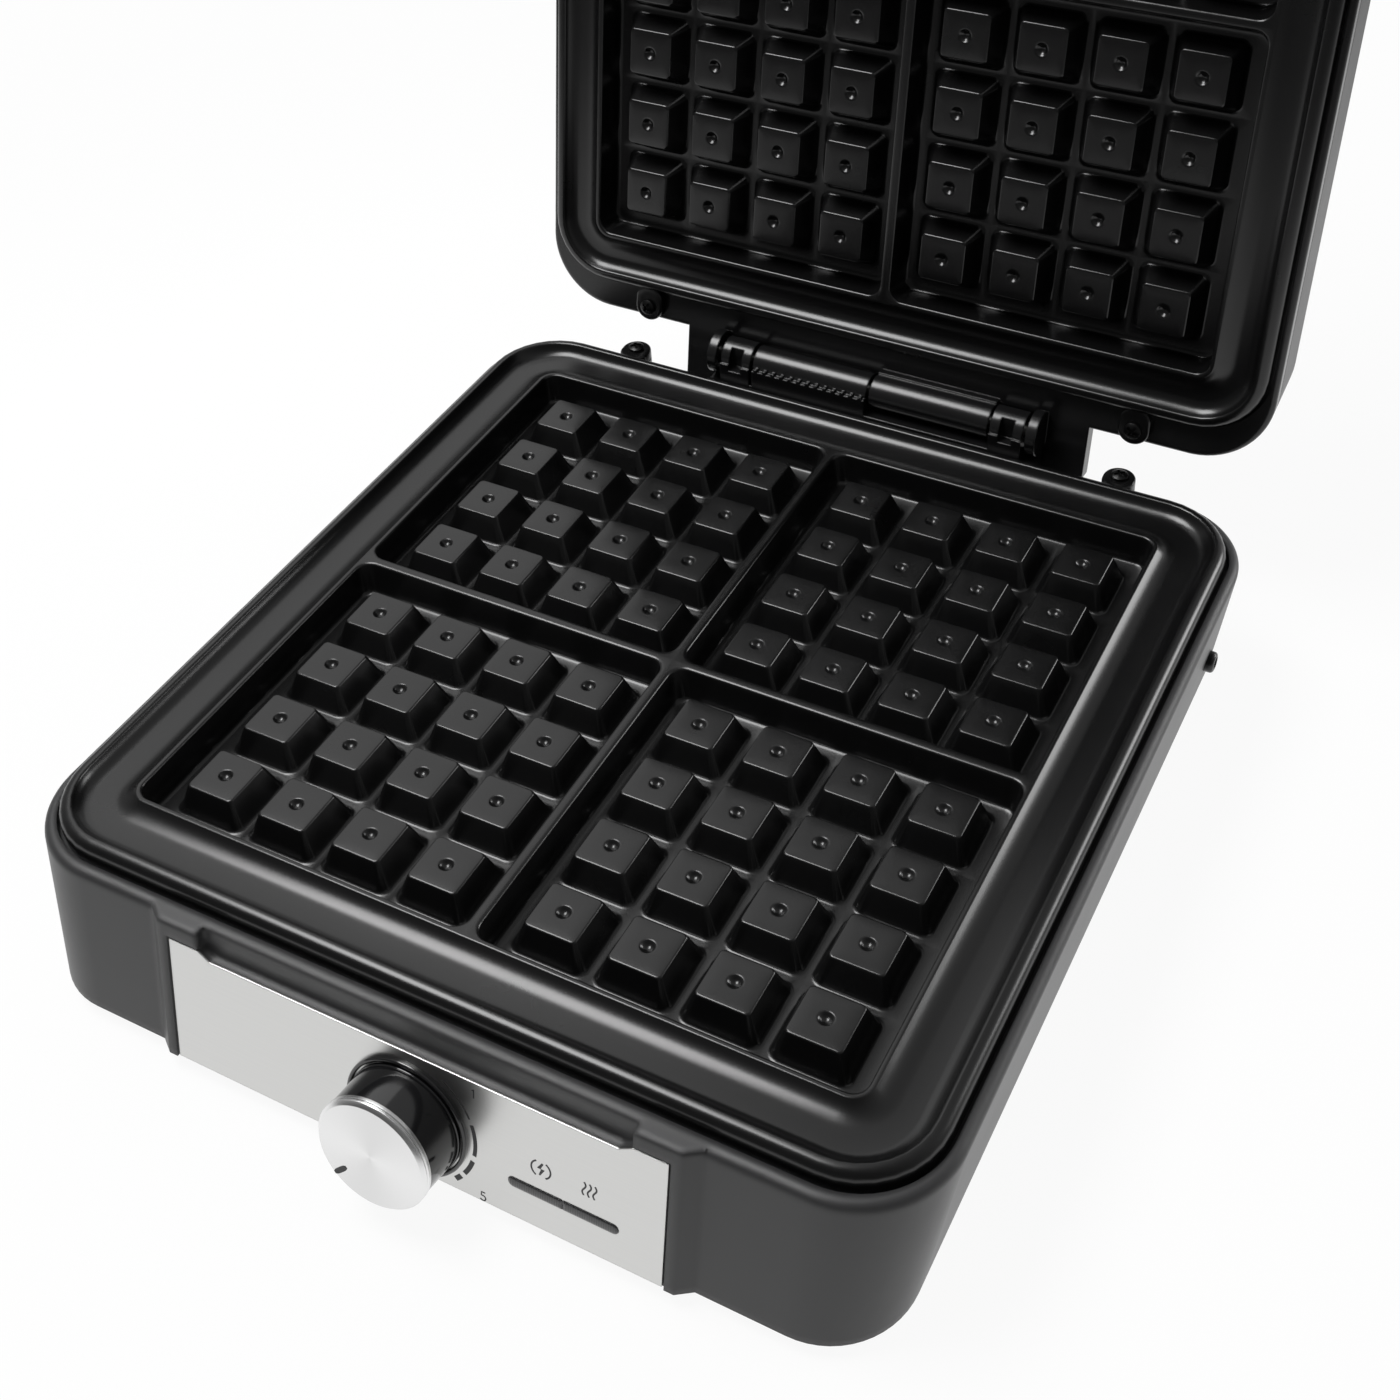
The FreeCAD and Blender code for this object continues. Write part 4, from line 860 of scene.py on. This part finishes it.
class WAFFLE_OT_knob(bpy.types.Operator):
    """Builds the control knob with its cap and pointer, and the bezel on the panel"""
    bl_idname = "waffle.knob"
    bl_label = "Control knob"

    def execute(self, context):
        sizes = context.scene.waffle_knob
        low = sizes.lift
        top = low + sizes.rise
        front = top + sizes.cap_thickness
        small = sizes.collar * COLLAR_ROUND_SHARE
        high = low + sizes.collar
        tip = sizes.body_radius - sizes.body_taper
        neck = tip + sizes.body_taper / 2
        foot = sizes.body_radius - small
        mesh = turned_mesh([(0.0, low), (foot, low)], arc((foot, low + small), small, -90.0, 0.0, COLLAR_STEPS),
                           arc((foot, high - small), small, 0.0, 90.0, COLLAR_STEPS),
                           [(neck, high), (neck, high + small), (tip, top), (0.0, top)])
        dressed("knob_grip", mesh, "gloss", "knob", "gloss_black", "knob_body")
        edge = sizes.cap_radius
        bevel = sizes.cap_chamfer
        soft = bevel * CHAMFER_SOFT_SHARE
        groove = [top + share * (sizes.cap_thickness - bevel) for share in GROOVE_SHARES]
        cap = [(0.0, top), (edge - soft, top), (edge, top + soft), (edge, groove[0]), (edge - 2 * soft, groove[1]),
               (edge - 2 * soft, groove[2]), (edge, groove[3]), (edge, front - bevel - soft),
               (edge - soft / 2, front - bevel), (edge - bevel, front - soft / 2), (edge - bevel - soft, front),
               (edge / 2, front), (0.0, front)]
        dressed("knob_face", turned_mesh(cap), "cap", "knob", "knob_metal", "knob_cap", smooth_angle=CRISP_ANGLE)
        inner = sizes.bezel_inner
        half = (sizes.bezel_outer - inner) / 2
        crown = arc((inner + half, sizes.bezel_height - half), half, 0.0, 180.0, BEZEL_STEPS)
        mesh = turned_mesh([(inner, 0.0), (sizes.bezel_outer, 0.0)], crown, [(inner, 0.0)])
        dressed("panel_bezel", mesh, "gloss", "base", "gloss_black", "knob_bezel")
        direction = np.array((math.cos(sizes.pointer_angle), math.sin(sizes.pointer_angle)))
        path = np.multiply.outer(sizes.pointer_place + POINTER_SHARES * sizes.pointer_length, direction)
        widths = sizes.pointer_width * np.sqrt(1 - POINTER_FALL * (POINTER_STRETCH * POINTER_SHARES) ** 4)
        grid = ribbon_grid(path, widths, sizes.mark_height)
        mesh = join_grids(grid + np.array(OUTWARD) * front)
        dressed("knob_mark", mesh, "ink", "knob", "gloss_black", "knob_pointer", smooth_angle=CRISP_ANGLE)
        return {"FINISHED"}


class WAFFLE_OT_marks(bpy.types.Operator):
    """Prints the scale with a figure at each end and the two plain signs on the panel"""
    bl_idname = "waffle.marks"
    bl_label = "Panel marks"

    def execute(self, context):
        sizes = context.scene.waffle_knob
        lines = [(arc((0.0, 0.0), sizes.mark_radius, start, end, DASH_STEPS), width) for start, end, width in DASHES]
        lines += [(arc(BOLT_PLACE, BRACKET_RADIUS, *angles, BOW_STEPS), STROKE) for angles in BRACKET_ANGLES]
        lines.append((np.add(BOLT_POINTS, BOLT_PLACE), BOLT_WIDTHS))
        wave = np.column_stack([WAVE_SWING * np.sin(WAVE_SHARES * math.pi), WAVE_HALF * WAVE_SHARES]) + WAVE_PLACE
        lines += [(wave + (shift * WAVE_PITCH, 0.0), STROKE) for shift in (-1, 0, 1)]
        five = np.concatenate([FIVE_BAR_SHARES, arc(*FIVE_BOWL, BOW_STEPS)])
        for shares, spot in ((ONE_SHARES, ONE_PLACE), (five, FIVE_PLACE)):
            lines.append((np.multiply(shares, sizes.digit_height / 2) + spot, sizes.digit_width))
        mesh = join_grids(*[ribbon_grid(path, width, sizes.mark_height) for path, width in lines])
        dressed("panel_marks", mesh, "ink", "base", "gloss_black", smooth_angle=CRISP_ANGLE)
        return {"FINISHED"}


class WAFFLE_OT_lights(bpy.types.Operator):
    """Builds the lenses of the two signal lights"""
    bl_idname = "waffle.lights"
    bl_label = "Signal lights"

    def execute(self, context):
        sizes = context.scene.waffle_knob
        middle = (sizes.light_left + sizes.light_right) / 2
        gap = sizes.light_divider / 2
        for name, left, right, side in (("power_light", sizes.light_left, middle - gap, -1),
                                        ("ready_light", middle + gap, sizes.light_right, 1)):
            low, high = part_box(name + "_lens")
            up = ((low + high) / 2 - KNOB).dot(UPWARD)
            mesh = lens_mesh(sizes, left, right, up, side)
            dressed(name, mesh, "lens", "base", "light_lens", name + "_lens")
        return {"FINISHED"}


class WAFFLE_OT_screws(bpy.types.Operator):
    """Builds the screws with cross slots on the tabs of both plates"""
    bl_idname = "waffle.screws"
    bl_label = "Plate screws"

    def execute(self, context):
        sizes = context.scene.waffle_plate
        low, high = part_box("lower_plate_screws")
        radius = (high.y - low.y) / 2
        seat = sizes.tab_low + sizes.tab_thickness
        rise = high.z - seat
        for name, body, tab_y in (("lower", "base", sizes.tab_y), ("upper", "lid", sizes.upper_tab_y)):
            mesh = join_grids(*[self.head(side * sizes.tab_x, PLATE_Y + tab_y, seat, radius, rise)
                                for side in (-1.0, 1.0)])
            if body == "lid":
                mesh = over_into_lid(*mesh, sizes.gap)
            dressed(name + "_screws", mesh, "dark_steel", body, "screw_steel", name + "_plate_screws",
                    smooth_angle=HEAD_ANGLE)
        return {"FINISHED"}

    @staticmethod
    def head(x, y, seat, radius, rise):
        """A pan head: height falls off with the square of the distance, less a cross whose arms are narrow bands."""
        across, up = spun(HEAD_SHARES * radius, HEAD_STEPS, HEAD_TURN)
        dome = np.repeat((rise * (1.0 - HEAD_DOME_SHARE * HEAD_SHARES ** 2))[:, None], HEAD_STEPS, axis=1)
        turned_x = np.abs(across * math.cos(CROSS_TURN) + up * math.sin(CROSS_TURN))
        turned_y = np.abs(up * math.cos(CROSS_TURN) - across * math.sin(CROSS_TURN))
        arm = radius * CROSS_ARM_SHARE
        reach = radius * CROSS_REACH_SHARE
        cross = ((turned_x < arm) & (turned_y < reach)) | ((turned_y < arm) & (turned_x < reach))
        height = dome - cross * rise * CROSS_DEPTH_SHARE
        height[:2] = 0.0
        return np.stack([x + across, y + up, seat + height], axis=-1)


class WAFFLE_OT_stage(bpy.types.Operator):
    """Sets up the white studio, its lights and the camera"""
    bl_idname = "waffle.stage"
    bl_label = "Studio"

    def execute(self, context):
        scene = context.scene
        settings = scene.waffle_stage
        scene.view_settings.view_transform = "Standard"
        self.floor(settings)
        self.world(scene, settings)
        for name, (size, spot) in LAMPS.items():
            self.lamp(name, getattr(settings, name), size, Vector(spot))
        self.camera(scene, settings)
        return {"FINISHED"}

    @staticmethod
    def seen(tree):
        """The Light Path node's outputs, and 1 for what the camera sees itself or through glass."""
        rays = add(tree, "LightPath").outputs
        return rays, maths(tree, "MAXIMUM", rays["Is Camera Ray"], rays["Is Transmission Ray"])

    def floor(self, settings):
        """A white floor: the camera sees it white, less the object's shadow; reflections see it white near the object
        and darker farther off."""
        half = settings.floor_half
        corners = half * np.array(((-1, -1, 0), (1, -1, 0), (1, 1, 0), (-1, 1, 0)))
        material = bpy.data.materials.new("studio_floor")
        material.use_nodes = True
        tree = material.node_tree
        shader = tree.nodes["Principled BSDF"]
        rays, seen = self.seen(tree)
        far = ranged(tree, vectors(tree, "LENGTH", place(tree))["Value"], 0.0, 1.0, FLOOR_NEAR, FLOOR_FAR)
        straight = maths(tree, "MULTIPLY", seen, ranged(tree, far, *FLOOR_SEEN_SHARES))
        mirrored = maths(tree, "MULTIPLY", rays["Is Glossy Ray"], ranged(tree, far, *FLOOR_MIRRORED_SHARES))
        feed(tree, shader, {"Roughness": FLOOR_ROUGHNESS, "Specular IOR Level": FLOOR_SPECULAR,
                            "Base Color": ranged(tree, far, *FLOOR_TONES)})
        glow = add(tree, "Emission", {"Strength": 1.0}).outputs["Emission"]
        share = maths(tree, "MAXIMUM", straight, mirrored)
        mix = add(tree, "MixShader", {"Fac": share, 1: shader.outputs["BSDF"], 2: glow})
        feed(tree, tree.nodes["Material Output"], {"Surface": mix.outputs["Shader"]})
        new_piece("floor", corners, np.arange(len(corners))[None], material)

    def world(self, scene, settings):
        """White light, strong from behind and weak from the front; the camera sees it as plain white."""
        world = bpy.data.worlds.new("studio")
        scene.world = world
        world.use_nodes = True
        tree = world.node_tree
        direction = add(tree, "SeparateXYZ", {"Vector": add(tree, "TexCoord").outputs["Generated"]})
        light = ranged(tree, direction.outputs["Y"], settings.front_sky, settings.sky, -SKY_BLEND, SKY_BLEND)
        strength = ranged(tree, self.seen(tree)[1], light, 1.0)
        feed(tree, tree.nodes["Background"], {"Color": (1.0, 1.0, 1.0, 1.0), "Strength": strength})

    @staticmethod
    def lamp(name, power, size, spot):
        """A rectangular soft light that faces the object."""
        data = bpy.data.lights.new(name, "AREA")
        data.shape = "RECTANGLE"
        data.size, data.size_y = size
        data.energy = power
        light = bpy.data.objects.new(name, data)
        light.location = spot
        light.rotation_euler = (LAMP_TARGET - spot).to_track_quat("-Z", "Y").to_euler()
        bpy.context.scene.collection.objects.link(light)

    @staticmethod
    def camera(scene, settings):
        """The photograph's camera: its place, direction, roll, focal length and the row of its optical axis."""
        data = bpy.data.cameras.new("camera")
        data.sensor_width = SENSOR_WIDTH
        data.sensor_fit = "HORIZONTAL"
        data.lens = settings.focal_pixels / settings.photo_pixels * data.sensor_width
        data.shift_y = (settings.centre_row - settings.photo_pixels / 2) / settings.photo_pixels
        data.clip_start = CLIP_START
        camera = bpy.data.objects.new("camera", data)
        plate = scene.waffle_plate
        middle = Vector((0.0, PLATE_Y, plate.pocket_floor + plate.block_height))
        turn = Matrix.Rotation(settings.turn, 4, "Z")
        tilt = Matrix.Rotation(math.pi / 2 - settings.pitch, 4, "X")
        roll = Matrix.Rotation(settings.roll, 4, "Z")
        camera.matrix_world = Matrix.Translation(middle + Vector(settings.camera_place)) @ turn @ tilt @ roll
        scene.collection.objects.link(camera)
        scene.camera = camera


class WAFFLE_PT_panel(bpy.types.Panel):
    """Lists the building steps and the sizes of the waffle maker"""
    bl_label = "Waffle Maker"
    bl_idname = "WAFFLE_PT_panel"
    bl_space_type = "VIEW_3D"
    bl_region_type = "UI"
    bl_category = "Waffle Maker"

    def draw(self, context):
        layout = self.layout
        for operator in OPERATORS:
            layout.operator(operator.bl_idname)
        for group_name in SETTINGS:
            settings = getattr(context.scene, group_name)
            box = layout.box()
            for name in settings.__annotations__:
                box.prop(settings, name)


OPERATORS = (WAFFLE_OT_finishes, WAFFLE_OT_plates, WAFFLE_OT_knob, WAFFLE_OT_marks, WAFFLE_OT_lights,
             WAFFLE_OT_screws, WAFFLE_OT_stage)
SETTINGS = {"waffle_plate": PlateSizes, "waffle_knob": KnobSizes, "waffle_colours": FinishColours,
            "waffle_stage": StageSettings}


def register():
    """Registers the settings, operators and panel."""
    for name, settings in SETTINGS.items():
        bpy.utils.register_class(settings)
        setattr(bpy.types.Scene, name, bpy.props.PointerProperty(type=settings))
    for operator in OPERATORS:
        bpy.utils.register_class(operator)
    bpy.utils.register_class(WAFFLE_PT_panel)


def unregister():
    """Takes everything back that register added."""
    bpy.utils.unregister_class(WAFFLE_PT_panel)
    for operator in reversed(OPERATORS):
        bpy.utils.unregister_class(operator)
    for name, settings in SETTINGS.items():
        delattr(bpy.types.Scene, name)
        bpy.utils.unregister_class(settings)


def main():
    """Builds everything in order."""
    register()
    for step in (bpy.ops.waffle.finishes, bpy.ops.waffle.plates, bpy.ops.waffle.knob, bpy.ops.waffle.marks,
                 bpy.ops.waffle.lights, bpy.ops.waffle.screws, bpy.ops.waffle.stage):
        step()


if __name__ == "__main__":
    main()
